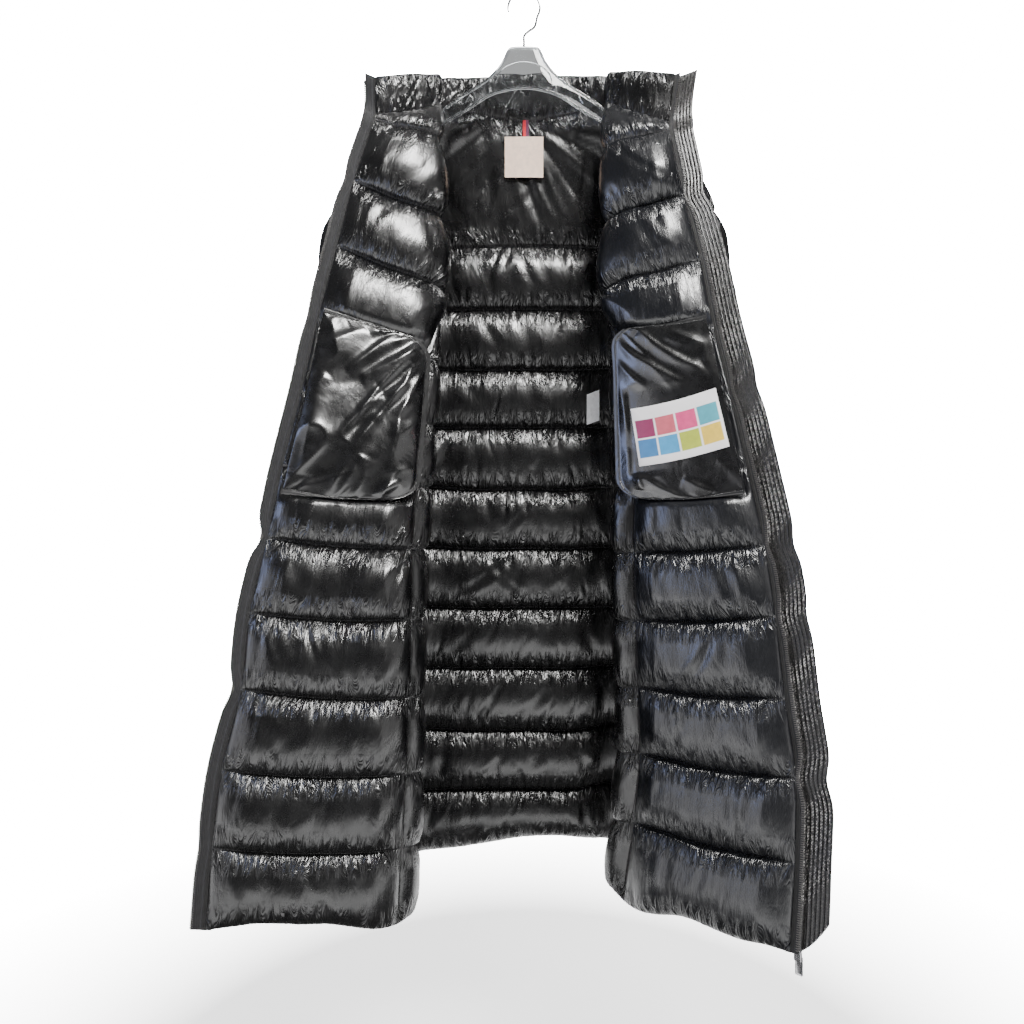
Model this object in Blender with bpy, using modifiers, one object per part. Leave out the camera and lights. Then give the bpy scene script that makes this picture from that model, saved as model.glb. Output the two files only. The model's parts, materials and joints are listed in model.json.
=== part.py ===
"""Long quilted down coat, hanging open on a clear hanger with both fronts turned outward.

Frame: metres, +Z up, the coat's front faces -Y, +X is the wearer's left. The origin is the
point where the hanger's hook bears on its rail.

Every wall of the coat is a mid surface with a puffed thickness. A plan section at each
quilting line runs from the zip over the turned front, round the fold, past the side seam and
along the back to its middle. The panels are stretches of that section, cut at the seams.
"""

from collections import namedtuple
from math import cos, pi, radians, sin

import bmesh
import bpy
import numpy as np
from mathutils import Matrix, Vector

# ---- driving dimensions, metres ----
SEAM_GAP = 0.0003  # between sewn pieces
SEAM_HALF = 0.0011  # half thickness of a wall where it is sewn flat
BODY_PUFF = 0.0105  # how far the down lifts each face of the fronts and the back
SIDE_PUFF = 0.0090
SLEEVE_PUFF = 0.0068
COLLAR_PUFF = 0.0085
PUFF_RAMP = 0.034  # distance from a side seam to full thickness
FULL_CHANNEL = 0.080  # a channel this tall puffs fully
LINES = 12  # quilting lines from neck seam (0) to hem (12)
UNDERARM_LINE = 2.84  # where along those lines the armhole ends
TAPE_WIDTH = 0.0165
LEFT_TAPE_WIDTH = 0.0085  # what shows beside the placket
TAPE_HALF = 0.0008
PLACKET_WIDTH = 0.0335
PLACKET_ROWS = 7
COLLAR_GAP = 0.0024
COLLAR_COLUMNS = 25
COLLAR_EDGE_HALF = 0.0030
COLLAR_SEAM_HALF = 0.0008
PLACKET_RIDGE = 0.0011
PLACKET_HALF = 0.0012
PLACKET_START = 0.0030  # from the zip edge, behind the tape
PLACKET_DEPTH = 0.0100
TAPE_GAP = 0.0009
TEETH_HALF = 0.0015
STRIP_ROWS = 24  # rows of points along the tapes and the placket
EDGE_TOP_LINE = 1.6  # above this line a strip keeps its direction
POCKET_START = 0.045
POCKET_CORNER_LINES = 0.33
POCKET_CORNER_ACROSS = 0.22
POCKET_LIFT = 0.0016
POCKET_HALF = 0.0008
POCKET_ROWS = (0.0, 0.012, 0.035, 0.07, 0.125, 0.3, 0.5, 0.7, 0.875, 0.93, 0.965, 0.988, 1.0)
POCKET_COLUMNS = 9
PRINT_LIFT = 0.0032
PRINT_HALF = 0.0003
SLEEVE_SEGMENTS = 14
ARMHOLE_STEP = 0.0040
HANGER_HALF = 0.003
HOOK_WIRE = 0.0019
HOOK_RADIUS = 0.021
PULL_LENGTH = 0.0212
PULL_WIDTH = 0.0085
PULL_THICK = 0.0012
PULL_BAR = 0.0006  # half height of the bar at the pull's top
PULL_SLOT = (0.0030, 0.0100, 0.0040)
PULL_DROP = 0.0045  # pull's axis below the end of the tape
SLIDER_SIZE = (0.0085, 0.0034, 0.0120)
SLIDER_RISE = 0.0020  # middle of the slider above the pull's axis
SLIDER_CLEAR = 0.0012  # slider face to the pull's axis
BRIDGE_RADIUS = 0.0021
BRIDGE_WIRE = 0.00062
BRIDGE_ROOT = 0.0010  # how far the bridge's ends reach into the slider
CHANNEL_STEPS = (0.0, 0.16, 0.5, 0.84)  # rows of points across one channel
PLAIN_STEPS = (0.0, 0.22, 0.78)  # the same, on the sides and sleeves
FRONT_COLUMNS = (0, 0.06, 0.16, 0.30, 0.44, 0.58, 0.71, 0.84, 0.94, 1.0)  # across each panel
SIDE_COLUMNS = (0, 0.10, 0.24, 0.42, 0.62, 0.82, 1.0)
BACK_COLUMNS = (0, 0.06, 0.16, 0.28, 0.42, 0.56, 0.70, 0.85, 1.0)
COLLAR_ROWS = (0.0, 0.12, 0.32, 0.55, 0.78, 0.93, 1.0)
YOKE_STEPS = (0.0, 0.08, 0.25, 0.5, 0.75, 0.92)  # the same, on the tall back yoke
GRID_PER_LINE = 12  # fine rows between two quilting lines
GRID_PER_KNOT = 12  # fine columns between two knots of a section

COAT = (0.012, 0.012, 0.014)

# One row for each quilting line of a turned front. Widths are distances out from the middle.
# zip: the free edge. face: the seam or turn on the visible side. fold: the innermost edge.
Front = namedtuple("Front", "zip_x zip_y zip_z face_x face_y face_z fold_x fold_y fold_z")
RIGHT_FRONT = (
    Front(0.203, -0.058, -0.208, 0.141, -0.031, -0.184, 0.123, -0.0032, -0.160),
    Front(0.203, -0.066, -0.219, 0.141, -0.064, -0.233, 0.120, -0.050, -0.235),
    Front(0.228, -0.082, -0.311, 0.140, -0.072, -0.342, 0.120, -0.055, -0.343),
    Front(0.246, -0.100, -0.405, 0.134, -0.082, -0.444, 0.117, -0.066, -0.447),
    Front(0.266, -0.118, -0.506, 0.135, -0.097, -0.556, 0.120, -0.083, -0.551),
    Front(0.282, -0.136, -0.604, 0.137, -0.111, -0.641, 0.124, -0.098, -0.639),
    Front(0.300, -0.153, -0.699, 0.140, -0.127, -0.725, 0.128, -0.114, -0.723),
    Front(0.314, -0.170, -0.790, 0.142, -0.143, -0.803, 0.133, -0.130, -0.803),
    Front(0.329, -0.187, -0.880, 0.141, -0.158, -0.891, 0.134, -0.144, -0.892),
    Front(0.334, -0.203, -0.969, 0.142, -0.170, -0.985, 0.133, -0.156, -0.987),
    Front(0.350, -0.220, -1.059, 0.144, -0.180, -1.075, 0.133, -0.166, -1.078),
    Front(0.355, -0.235, -1.143, 0.149, -0.187, -1.162, 0.137, -0.172, -1.165),
    Front(0.356, -0.250, -1.229, 0.153, -0.190, -1.252, 0.143, -0.175, -1.251),
)
LEFT_FRONT = (
    Front(0.199, -0.058, -0.218, 0.139, -0.031, -0.186, 0.123, -0.0032, -0.160),
    Front(0.198, -0.066, -0.235, 0.134, -0.064, -0.248, 0.114, -0.050, -0.251),
    Front(0.214, -0.082, -0.330, 0.137, -0.068, -0.347, 0.117, -0.051, -0.353),
    Front(0.231, -0.102, -0.423, 0.135, -0.076, -0.443, 0.115, -0.058, -0.449),
    Front(0.243, -0.122, -0.515, 0.146, -0.083, -0.539, 0.125, -0.065, -0.537),
    Front(0.259, -0.143, -0.606, 0.148, -0.088, -0.631, 0.127, -0.070, -0.631),
    Front(0.275, -0.163, -0.703, 0.148, -0.092, -0.720, 0.128, -0.074, -0.719),
    Front(0.290, -0.184, -0.799, 0.146, -0.096, -0.808, 0.126, -0.078, -0.808),
    Front(0.297, -0.203, -0.883, 0.148, -0.100, -0.897, 0.128, -0.081, -0.899),
    Front(0.302, -0.222, -0.976, 0.150, -0.103, -0.985, 0.131, -0.084, -0.988),
    Front(0.308, -0.240, -1.063, 0.152, -0.106, -1.071, 0.133, -0.086, -1.075),
    Front(0.301, -0.256, -1.152, 0.144, -0.107, -1.161, 0.125, -0.087, -1.165),
    Front(0.291, -0.270, -1.243, 0.131, -0.107, -1.263, 0.115, -0.087, -1.250),
)

# Behind the fold, at a few quilting lines. turn: just behind the fold. under: the front edge of
# the armhole, lower down the middle of the side panel. seam: the back edge of the armhole, lower
# down the side seam. outer: the back panel near that seam.
Hidden = namedtuple(
    "Hidden",
    "line turn_x turn_y under_x under_y under_z seam_x seam_y seam_z outer_x outer_y outer_z",
)
RIGHT_HIDDEN = (
    Hidden(0, 0.140, -0.0026, 0.205, -0.0024, -0.200, 0.205, 0.0024, -0.200, 0.122, 0.0030, -0.160),
    Hidden(1, 0.138, -0.0330, 0.199, -0.0310, -0.262, 0.202, 0.0300, -0.262, 0.166, 0.0440, -0.262),
    Hidden(2, 0.137, -0.0330, 0.184, -0.0260, -0.355, 0.192, 0.0360, -0.350, 0.156, 0.0500, -0.349),
    Hidden(3, 0.135, -0.0310, 0.156, -0.0050, -0.447, 0.172, 0.0380, -0.444, 0.138, 0.0520, -0.443),
    Hidden(5, 0.134, -0.0600, 0.150, -0.0080, -0.630, 0.168, 0.0400, -0.622, 0.135, 0.0540, -0.621),
    Hidden(8, 0.143, -0.0950, 0.158, -0.0250, -0.892, 0.178, 0.0400, -0.892, 0.144, 0.0540, -0.892),
    Hidden(12, 0.153, -0.1200, 0.172, -0.0350, -1.256, 0.200, 0.0360, -1.262, 0.160, 0.0520, -1.262),
)
LEFT_HIDDEN = (
    Hidden(0, 0.140, -0.0026, 0.205, -0.0024, -0.200, 0.205, 0.0024, -0.200, 0.122, 0.0030, -0.160),
    Hidden(1, 0.136, -0.0330, 0.199, -0.0310, -0.262, 0.202, 0.0300, -0.262, 0.166, 0.0440, -0.262),
    Hidden(2, 0.135, -0.0320, 0.184, -0.0260, -0.355, 0.190, 0.0360, -0.350, 0.150, 0.0500, -0.349),
    Hidden(3, 0.130, -0.0330, 0.152, -0.0060, -0.447, 0.160, 0.0360, -0.444, 0.126, 0.0510, -0.443),
    Hidden(5, 0.138, -0.0400, 0.152, -0.0060, -0.630, 0.132, 0.0390, -0.622, 0.100, 0.0520, -0.621),
    Hidden(8, 0.138, -0.0500, 0.156, -0.0070, -0.892, 0.162, 0.0390, -0.892, 0.128, 0.0530, -0.892),
    Hidden(12, 0.130, -0.0550, 0.160, -0.0100, -1.250, 0.178, 0.0360, -1.246, 0.140, 0.0510, -1.244),
)

# Middle of the back, by quilting line: its depth and height. The quarter lies between it and outer.
Back = namedtuple("Back", "middle_y middle_z quarter_x quarter_y quarter_z")
BACK = (
    Back(0.035, -0.165, 0.080, 0.0210, -0.158),
    Back(0.044, -0.256, 0.080, 0.0450, -0.258),
    Back(0.048, -0.348, 0.075, 0.0490, -0.349),
    Back(0.050, -0.443, 0.070, 0.0510, -0.443),
    Back(0.050, -0.534, 0.068, 0.0520, -0.534),
    Back(0.050, -0.621, 0.068, 0.0520, -0.621),
    Back(0.050, -0.714, 0.068, 0.0520, -0.715),
    Back(0.050, -0.803, 0.068, 0.0520, -0.804),
    Back(0.050, -0.892, 0.070, 0.0520, -0.893),
    Back(0.050, -0.983, 0.072, 0.0520, -0.984),
    Back(0.050, -1.077, 0.075, 0.0520, -1.078),
    Back(0.050, -1.165, 0.078, 0.0520, -1.166),
    Back(0.050, -1.247, 0.080, 0.0510, -1.248),
)
HEM_SLOPE = 0.09  # the back hem rises towards +X by this much for each metre

# How far the collar's top edge stands from the neck seam, at parts of the way from the right
# zip to the left one.
Stand = namedtuple("Stand", "part out_x lean_y rise_z")
COLLAR_STAND = (
    Stand(0.00, 0.000, 0.011, 0.055),
    Stand(0.10, -0.002, 0.011, 0.055),
    Stand(0.24, 0.000, 0.011, 0.042),
    Stand(0.36, 0.000, 0.011, 0.050),
    Stand(0.50, 0.000, 0.015, 0.063),
    Stand(0.64, 0.000, 0.011, 0.052),
    Stand(0.76, 0.001, 0.011, 0.044),
    Stand(0.90, 0.006, 0.011, 0.063),
    Stand(1.00, 0.008, 0.011, 0.069),
)

# Sleeve rings at its quilting lines: the inner point, half widths, and tilt of the ring.
Ring = namedtuple("Ring", "inner_x inner_z middle_y half_width half_depth tilt")
SLEEVE_RINGS = (
    Ring(0.189, -0.425, -0.002, 0.068, 0.0290, 52),
    Ring(0.186, -0.454, -0.018, 0.056, 0.0270, 24),
    Ring(0.182, -0.490, -0.034, 0.056, 0.0255, 2),
    Ring(0.178, -0.566, -0.042, 0.060, 0.0280, -3),
    Ring(0.176, -0.644, -0.046, 0.060, 0.0290, -4),
    Ring(0.176, -0.722, -0.048, 0.058, 0.0290, -4),
    Ring(0.180, -0.800, -0.050, 0.052, 0.0260, -3),
)

# Pocket bags: the quilting lines they start and end at, beside the zip and at the fold, and how
# far they reach from the zip (0) to the fold (1).
Bag = namedtuple("Bag", "top_zip top_fold low_zip low_fold far_side")
RIGHT_POCKET = Bag(3.88, 3.70, 6.42, 6.22, 0.90)
LEFT_POCKET = Bag(3.90, 3.64, 6.36, 6.18, 0.95)

# Corners of the printed label on the left pocket bag: quilting line, and part of the way from
# the zip to the fold.
Corner = namedtuple("Corner", "line across")
PRINT_CORNERS = (Corner(4.93, 0.09), Corner(4.88, 0.80), Corner(5.74, 0.76), Corner(5.72, 0.075))

# Labels and loop: top left corner, the edge across and the edge down.
Plate = namedtuple("Plate", "corner right down thickness")
NECK_LABEL = Plate((-0.0285, 0.0262, -0.194), (0.057, 0.0, 0.0), (0.0, 0.0025, -0.059), 0.0006)
HANGING_LOOP = Plate((-0.0015, 0.0290, -0.168), (0.0085, 0.0, 0.0), (0.0, -0.0016, -0.0255), 0.0012)
CARE_LABEL = Plate((0.0935, 0.0300, -0.575), (0.0180, -0.0050, 0.006), (0.0, 0.0, -0.045), 0.0006)

# Outline of the clear hanger's right half, from the neck's top round the arm to the arch.
Outline = namedtuple("Outline", "x z")
HANGER_TOP = (
    Outline(0.000, -0.0765), Outline(0.0195, -0.0768), Outline(0.0250, -0.0810),
    Outline(0.0330, -0.1010), Outline(0.0535, -0.1240), Outline(0.0850, -0.1430),
    Outline(0.1150, -0.1635), Outline(0.1290, -0.1780), Outline(0.1600, -0.1990),
    Outline(0.1930, -0.2175),
)
HANGER_UNDER = (
    Outline(0.1960, -0.2230), Outline(0.1890, -0.2290), Outline(0.1560, -0.2180),
    Outline(0.1235, -0.1950), Outline(0.0800, -0.1700), Outline(0.0500, -0.1485),
    Outline(0.0174, -0.1400), Outline(0.000, -0.1392),
)

# Wire centres of the hook's bend above the hanger's neck: part of the way to the turn's start,
# and height above the neck.
Bend = namedtuple("Bend", "out rise")
HOOK_BEND = (Bend(0.0, 0.0), Bend(0.0, 0.008), Bend(0.0, 0.014), Bend(0.30, 0.0205), Bend(0.72, 0.0265))
HOOK_START = -120  # angles round the hook from its top, in degrees
HOOK_END = 104
HOOK_STEP = 14

# Knots of a plan section of half the body, from the zip to the middle of the back.
SECTION_KNOTS = ("zip", "bow", "face", "fold", "turn", "under", "seam", "outer", "quarter", "middle")
ZIP, BOW, FACE, FOLD, TURN, UNDER, SEAM, OUTER, QUARTER, MIDDLE = range(len(SECTION_KNOTS))


# ---- scene and materials ----


def clear_scene():
    for thing in list(bpy.data.objects):
        bpy.data.objects.remove(thing, do_unlink=True)


def new_collection(name):
    collection = bpy.data.collections.new(name)
    bpy.context.scene.collection.children.link(collection)
    return collection


def material(name, colour, roughness, metallic=0.0, alpha=1.0):
    mat = bpy.data.materials.new(name)
    mat.use_nodes = True
    shader = mat.node_tree.nodes["Principled BSDF"]
    shader.inputs["Base Color"].default_value = (*colour, 1.0)
    shader.inputs["Roughness"].default_value = roughness
    shader.inputs["Metallic"].default_value = metallic
    shader.inputs["Alpha"].default_value = alpha
    mat.diffuse_color = (*colour, alpha)
    return mat


def add_mesh(name, points, faces, mat, collection, smooth_angle=50):
    mesh = bpy.data.meshes.new(name)
    mesh.from_pydata([tuple(map(float, p)) for p in points], [], faces)
    shape = bmesh.new()
    shape.from_mesh(mesh)
    bmesh.ops.recalc_face_normals(shape, faces=shape.faces)
    shape.to_mesh(mesh)
    shape.free()
    mesh.shade_smooth()
    mesh.set_sharp_from_angle(angle=radians(smooth_angle))
    obj = bpy.data.objects.new(name, mesh)
    obj.data.materials.append(mat)
    collection.objects.link(obj)
    return obj


# ---- smooth curves ----


def smooth_through(knots, points, at):
    """Points of a smooth curve through the given points, at the given knot values."""
    knots = np.asarray(knots, float)
    points = np.asarray(points, float)
    at = np.clip(np.asarray(at, float), knots[0], knots[-1])
    step = np.diff(knots)[:, None]
    slope = np.diff(points, axis=0) / step
    tangent = np.empty_like(points)
    tangent[0], tangent[-1] = slope[0], slope[-1]
    tangent[1:-1] = (slope[:-1] * step[1:] + slope[1:] * step[:-1]) / (step[:-1] + step[1:])
    span = np.clip(np.searchsorted(knots, at, side="right") - 1, 0, len(knots) - 2)
    h = step[span]
    t = ((at - knots[span])[:, None]) / h
    return (
        (2 * t**3 - 3 * t**2 + 1) * points[span]
        + (t**3 - 2 * t**2 + t) * h * tangent[span]
        + (3 * t**2 - 2 * t**3) * points[span + 1]
        + (t**3 - t**2) * h * tangent[span + 1]
    )


def length_along(points):
    steps = np.linalg.norm(np.diff(points, axis=0), axis=1)
    return np.concatenate([[0.0], np.cumsum(steps)])


def even_points(points, fractions, gap=0.0):
    """Points at fractions of a polyline's length, kept a gap away from both its ends."""
    run = length_along(points)
    at = gap + np.asarray(fractions) * (run[-1] - 2 * gap)
    return np.stack([np.interp(at, run, points[:, axis]) for axis in range(3)], axis=1)


# ---- plan sections of the coat's body ----

def knot_tables(front_rows, hidden_rows, side):
    """For each knot of a section, its positions at all the quilting lines."""
    lines = np.arange(LINES + 1)
    front = np.array(front_rows)
    hidden_lines = [row.line for row in hidden_rows]
    hidden = smooth_through(hidden_lines, [row[1:] for row in hidden_rows], lines)
    back = np.array(BACK)
    tables = {ZIP: front[:, 0:3], FACE: front[:, 3:6], FOLD: front[:, 6:9]}
    tables[BOW] = 0.5 * (tables[ZIP] + tables[FACE]) + np.array([0.0, -0.004, -0.004])
    turn_z = 0.6 * tables[FOLD][:, 2] + 0.4 * hidden[:, 4]
    tables[TURN] = np.column_stack([hidden[:, 0:2], turn_z])
    tables[UNDER] = hidden[:, 2:5]
    tables[SEAM] = hidden[:, 5:8]
    tables[OUTER] = hidden[:, 8:11]
    tables[QUARTER] = back[:, 2:5].copy()
    tables[QUARTER][-1, 2] += HEM_SLOPE * side * tables[QUARTER][-1, 0]
    tables[MIDDLE] = np.column_stack([np.zeros(LINES + 1), back[:, 0:2]])
    for table in tables.values():
        table[:, 0] *= side
    return [tables[knot] for knot in range(len(SECTION_KNOTS))]


class BodySide:
    """One half of the body: a fine grid of its mid surface, by quilting line and section knot."""

    def __init__(self, tables):
        lines = np.arange(LINES + 1)
        self.rows = np.linspace(0, LINES, GRID_PER_LINE * LINES + 1)
        through = np.array([smooth_through(lines, table, self.rows) for table in tables])
        knots = np.linspace(0, len(tables) - 1, GRID_PER_KNOT * (len(tables) - 1) + 1)
        grid = []
        for row in range(len(self.rows)):
            run = length_along(through[:, row])
            at = np.interp(knots, np.arange(len(run)), run)
            grid.append(smooth_through(run, through[:, row], at))
        self.points = np.array(grid)
        self.normals = surface_normals(self.points)

    def row_at(self, line):
        """Section polyline and its normals at one height."""
        at = min(line * GRID_PER_LINE, len(self.rows) - 1.0)
        low = min(int(at), len(self.rows) - 2)
        part = at - low
        points = self.points[low] * (1 - part) + self.points[low + 1] * part
        normals = self.normals[low] * (1 - part) + self.normals[low + 1] * part
        return points, normals

    def place(self, line, knot):
        """One point of the section and its normal, at a line and a knot value."""
        points, normals = self.row_at(line)
        at = np.arange(len(points)) / GRID_PER_KNOT
        pick = [np.interp(knot, at, source[:, axis]) for source in (points, normals) for axis in range(3)]
        return np.array(pick[:3]), np.array(pick[3:])

    def between(self, line, first, last, fractions, gap=0.0):
        """Points and normals at fractions of the way between two knot values."""
        points, normals = self.row_at(line)
        run = length_along(points)
        start, end = np.interp([first, last], np.arange(len(points)) / GRID_PER_KNOT, run)
        at = start + gap + np.asarray(fractions) * (end - start - 2 * gap)
        found = [np.interp(at, run, source[:, axis]) for source in (points, normals) for axis in range(3)]
        return np.stack(found[:3], axis=1), np.stack(found[3:], axis=1)


def panel_rows(lines, steps=CHANNEL_STEPS):
    """Row positions down a panel: a few in each channel between two quilting lines."""
    rows = []
    for top, bottom in zip(lines[:-1], lines[1:]):
        used = steps if bottom - top <= 1.01 else YOKE_STEPS
        rows += [top + (bottom - top) * step for step in used]
    return np.array(rows + [lines[-1]])


def channel_shape(rows, lines):
    """0 on a quilting line and 1 in the middle of a channel, for each row."""
    shape = []
    for row in rows:
        index = min(np.searchsorted(lines, row, side="right") - 1, len(lines) - 2)
        part = (row - lines[index]) / (lines[index + 1] - lines[index])
        shape.append(max(sin(pi * min(max(part, 0.0), 1.0)), 0.0) ** 0.6)
    return np.array(shape)


def channel_height(middle, rows, lines):
    """How tall each channel is at each column, spread over the rows of the channel."""
    heights = np.zeros(middle.shape[:2])
    run = np.array([length_along(middle[:, column]) for column in range(middle.shape[1])]).T
    for top, bottom in zip(lines[:-1], lines[1:]):
        inside = np.flatnonzero((rows >= top - 1e-9) & (rows <= bottom + 1e-9))
        heights[inside] = np.maximum(heights[inside], run[inside[-1]] - run[inside[0]])
    return heights


def surface_normals(middle, closed=False):
    down = np.gradient(middle, axis=0)
    if closed:
        across = np.roll(middle, -1, axis=1) - np.roll(middle, 1, axis=1)
    else:
        across = np.gradient(middle, axis=1)
    normal = np.cross(across, down)
    return normal / np.maximum(np.linalg.norm(normal, axis=2, keepdims=True), 1e-12)


def puff_thickness(middle, rows, lines, puff, closed=False):
    """Half thickness of a quilted wall: thin on its lines and seams, full between them."""
    shape = channel_shape(rows, lines)[:, None]
    height = np.minimum(1.0, channel_height(middle, rows, lines) / FULL_CHANNEL)
    thickness = puff * shape * height
    if not closed:
        run = np.array([length_along(row) for row in middle])
        edge = np.minimum(run, run[:, -1:] - run)
        thickness *= np.minimum(1.0, edge / PUFF_RAMP) ** 0.55
    return SEAM_HALF + thickness


def wall_mesh(name, middle, half, mat, collection, normal=None, closed=False):
    """A closed wall: the mid surface moved out and in by half its thickness, and rimmed."""
    if normal is None:
        normal = surface_normals(middle, closed)
    offset = np.broadcast_to(np.asarray(half, float)[..., None], middle.shape)
    faces_apart = np.concatenate([middle + normal * offset, middle - normal * offset])
    rows, columns = middle.shape[:2]
    layer = rows * columns
    points = faces_apart.reshape(-1, 3)
    faces = []
    across = columns if closed else columns - 1
    for row in range(rows - 1):
        for column in range(across):
            right = (column + 1) % columns
            a, b = row * columns + column, row * columns + right
            c, d = (row + 1) * columns + right, (row + 1) * columns + column
            faces += [(a, b, c, d), (layer + d, layer + c, layer + b, layer + a)]
    rim = [(row * columns, (row + 1) * columns) for row in range(rows - 1)]
    rim += [((row + 1) * columns - 1, (row + 2) * columns - 1) for row in range(rows - 1)]
    edges = [] if closed else rim
    edges += [(column, (column + 1) % columns) for column in range(across)]
    last = (rows - 1) * columns
    edges += [(last + column, last + (column + 1) % columns) for column in range(across)]
    faces += [(a, b, layer + b, layer + a) for a, b in edges]
    return add_mesh(name, points, faces, mat, collection)


def stretch(side, rows, first, last, fractions):
    """Mid surface and normals of a panel: at each row the section between two seams."""
    made = [side.between(row, first(row), last(row), fractions, SEAM_GAP / 2) for row in rows]
    return np.array([points for points, _ in made]), np.array([normals for _, normals in made])


# ---- the coat's pieces ----


def front_seam_knot(row):
    """Where the front is sewn to the side panel: the armhole, then round the fold, then the face."""
    return float(np.interp(row, (0.0, UNDERARM_LINE, 3.5, 4.0), (UNDER, UNDER, FOLD, FACE)))


def make_front(name, side, mat, collection):
    lines = np.arange(LINES + 1)
    rows = panel_rows(lines)
    middle, normal = stretch(side, rows, lambda row: ZIP, front_seam_knot, FRONT_COLUMNS)
    puff = BODY_PUFF * np.interp(rows, (0, 1, 2), (0.55, 0.7, 0.95))[:, None]
    half = puff_thickness(middle, rows, lines, puff)
    return wall_mesh(name, middle, half, mat, collection, normal)


def make_side(name, side, mat, collection):
    lines = np.concatenate([[UNDERARM_LINE], np.arange(3, LINES + 1)])
    upper = panel_rows(np.array([3, 4]))[:-1]
    rows = np.concatenate([[UNDERARM_LINE], upper, panel_rows(np.arange(4, LINES + 1), PLAIN_STEPS)])
    middle, normal = stretch(side, rows, front_seam_knot, lambda row: SEAM, SIDE_COLUMNS)
    half = puff_thickness(middle, rows, lines, SIDE_PUFF)
    return wall_mesh(name, middle, half, mat, collection, normal)


def make_back(name, right, left, mat, collection):
    lines = np.concatenate([[0], np.arange(2, LINES + 1)])
    rows = panel_rows(lines)
    middle, normal = [], []
    for row in rows:
        one, one_normal = right.between(row, SEAM, MIDDLE, BACK_COLUMNS, SEAM_GAP / 2)
        two, two_normal = left.between(row, SEAM, MIDDLE, BACK_COLUMNS, SEAM_GAP / 2)
        two_normal = -two_normal
        middle.append(np.concatenate([one[:-1], [0.5 * (one[-1] + two[-1])], two[-2::-1]]))
        centre = 0.5 * (one_normal[-1] + two_normal[-1])
        normal.append(np.concatenate([one_normal[:-1], [centre], two_normal[-2::-1]]))
    middle, normal = np.array(middle), np.array(normal)
    puff = BODY_PUFF * np.interp(rows, (0, 2), (0.75, 1.0))[:, None]
    half = puff_thickness(middle, rows, lines, puff)
    return wall_mesh(name, middle, half, mat, collection, normal)


def neck_curve(right, left, columns):
    """Seam and top edge of the collar at even steps along the neck seam."""
    halves = []
    for side in (right, left):
        front = side.between(0.0, ZIP, FOLD, np.linspace(0, 1, 12))[0]
        back = side.between(0.0, OUTER, MIDDLE, np.linspace(0, 1, 10))[0]
        halves.append(np.concatenate([front, back]))
    neck = np.concatenate([halves[0], halves[1][-2::-1]])
    part = np.linspace(0.0, 1.0, columns)
    seam = even_points(neck, part)
    stand = np.array(COLLAR_STAND)
    return seam, seam + smooth_through(stand[:, 0], stand[:, 1:], part)


def make_collar(name, seam, top, mat, collection):
    lines = np.array([0.0, 1.0])
    rows = np.array(COLLAR_ROWS)
    lift = (top - seam) / np.linalg.norm(top - seam, axis=1, keepdims=True)
    foot = seam + COLLAR_GAP * lift
    middle = np.array([foot + (top - foot) * row for row in rows])
    half = puff_thickness(middle, rows, lines, COLLAR_PUFF)
    half[-1] = COLLAR_EDGE_HALF  # the top edge is turned, not sewn flat
    half[0] = COLLAR_SEAM_HALF
    return wall_mesh(name, middle, half, mat, collection)


def armhole_loop(side, sign):
    """The armhole's edge from the shoulder down the front, under the arm and up the back."""
    rows = np.linspace(0.0, UNDERARM_LINE, SLEEVE_SEGMENTS // 2)
    front = [side.place(row, UNDER)[0] for row in rows]
    below = side.place(UNDERARM_LINE, 0.5 * (UNDER + SEAM))[0]
    back = [side.place(row, SEAM)[0] for row in rows[::-1]]
    shoulder = 0.5 * (front[0] + back[-1])
    loop = np.array([shoulder, *front[1:], below, *back[:-1]])
    return loop + np.array([sign * ARMHOLE_STEP, 0.0, 0.0])


def sleeve_ring(ring, sign):
    """One tilted oval of the sleeve, from its outer point round the front."""
    tilt = radians(ring.tilt)
    outward = np.array([cos(tilt) * sign, 0.0, sin(tilt)])
    inner = np.array([ring.inner_x * sign, ring.middle_y, ring.inner_z])
    centre = inner + ring.half_width * outward
    turn = 2 * pi * np.arange(SLEEVE_SEGMENTS) / SLEEVE_SEGMENTS
    across = ring.half_width * np.cos(turn)[:, None] * outward
    depth = ring.half_depth * np.sin(turn)[:, None] * np.array([0.0, -1.0, 0.0])
    return centre + across + depth


def make_sleeve(name, side, sign, mat, collection):
    rings = [armhole_loop(side, sign)] + [sleeve_ring(ring, sign) for ring in SLEEVE_RINGS]
    lines = np.arange(len(rings))
    rows = panel_rows(lines, PLAIN_STEPS)
    columns = [smooth_through(lines, [ring[i] for ring in rings], rows) for i in range(SLEEVE_SEGMENTS)]
    middle = np.array(columns).transpose(1, 0, 2)
    half = puff_thickness(middle, rows, lines, SLEEVE_PUFF, closed=True)
    return wall_mesh(name, middle, half, mat, collection, closed=True)


def zip_edge(side, collar_end, count):
    """The free edge of a front from the hem up to the collar's top, with its outward direction."""
    rows = np.linspace(LINES, 1.0, 34)
    edge = [side.place(row, ZIP)[0] for row in rows]
    edge = np.array(edge + list(collar_end))
    outward = []
    for row in np.append(rows, [1.0, 1.0]):
        near, far = (side.place(max(row, EDGE_TOP_LINE), knot)[0] for knot in (ZIP, ZIP + 0.3))
        outward.append((near - far) / np.linalg.norm(near - far))
    outward = np.array(outward)
    run = length_along(edge)
    at = np.linspace(0.0, run[-1], count)
    return smooth_through(run, edge, at), smooth_through(run, outward, at)


def strip_along(edge, outward, steps, depth):
    """Mid surface of a strip beside an edge: rows along it, columns at the given widths."""
    normal = np.cross(outward, np.gradient(edge, axis=0))
    normal /= np.linalg.norm(normal, axis=1, keepdims=True)
    normal *= np.sign(normal[:, 1:2])  # towards the coat's outer face, at +Y here
    widths = np.asarray(steps)[None, :, None]
    return edge[:, None] + outward[:, None] * widths + normal[:, None] * depth


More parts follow.
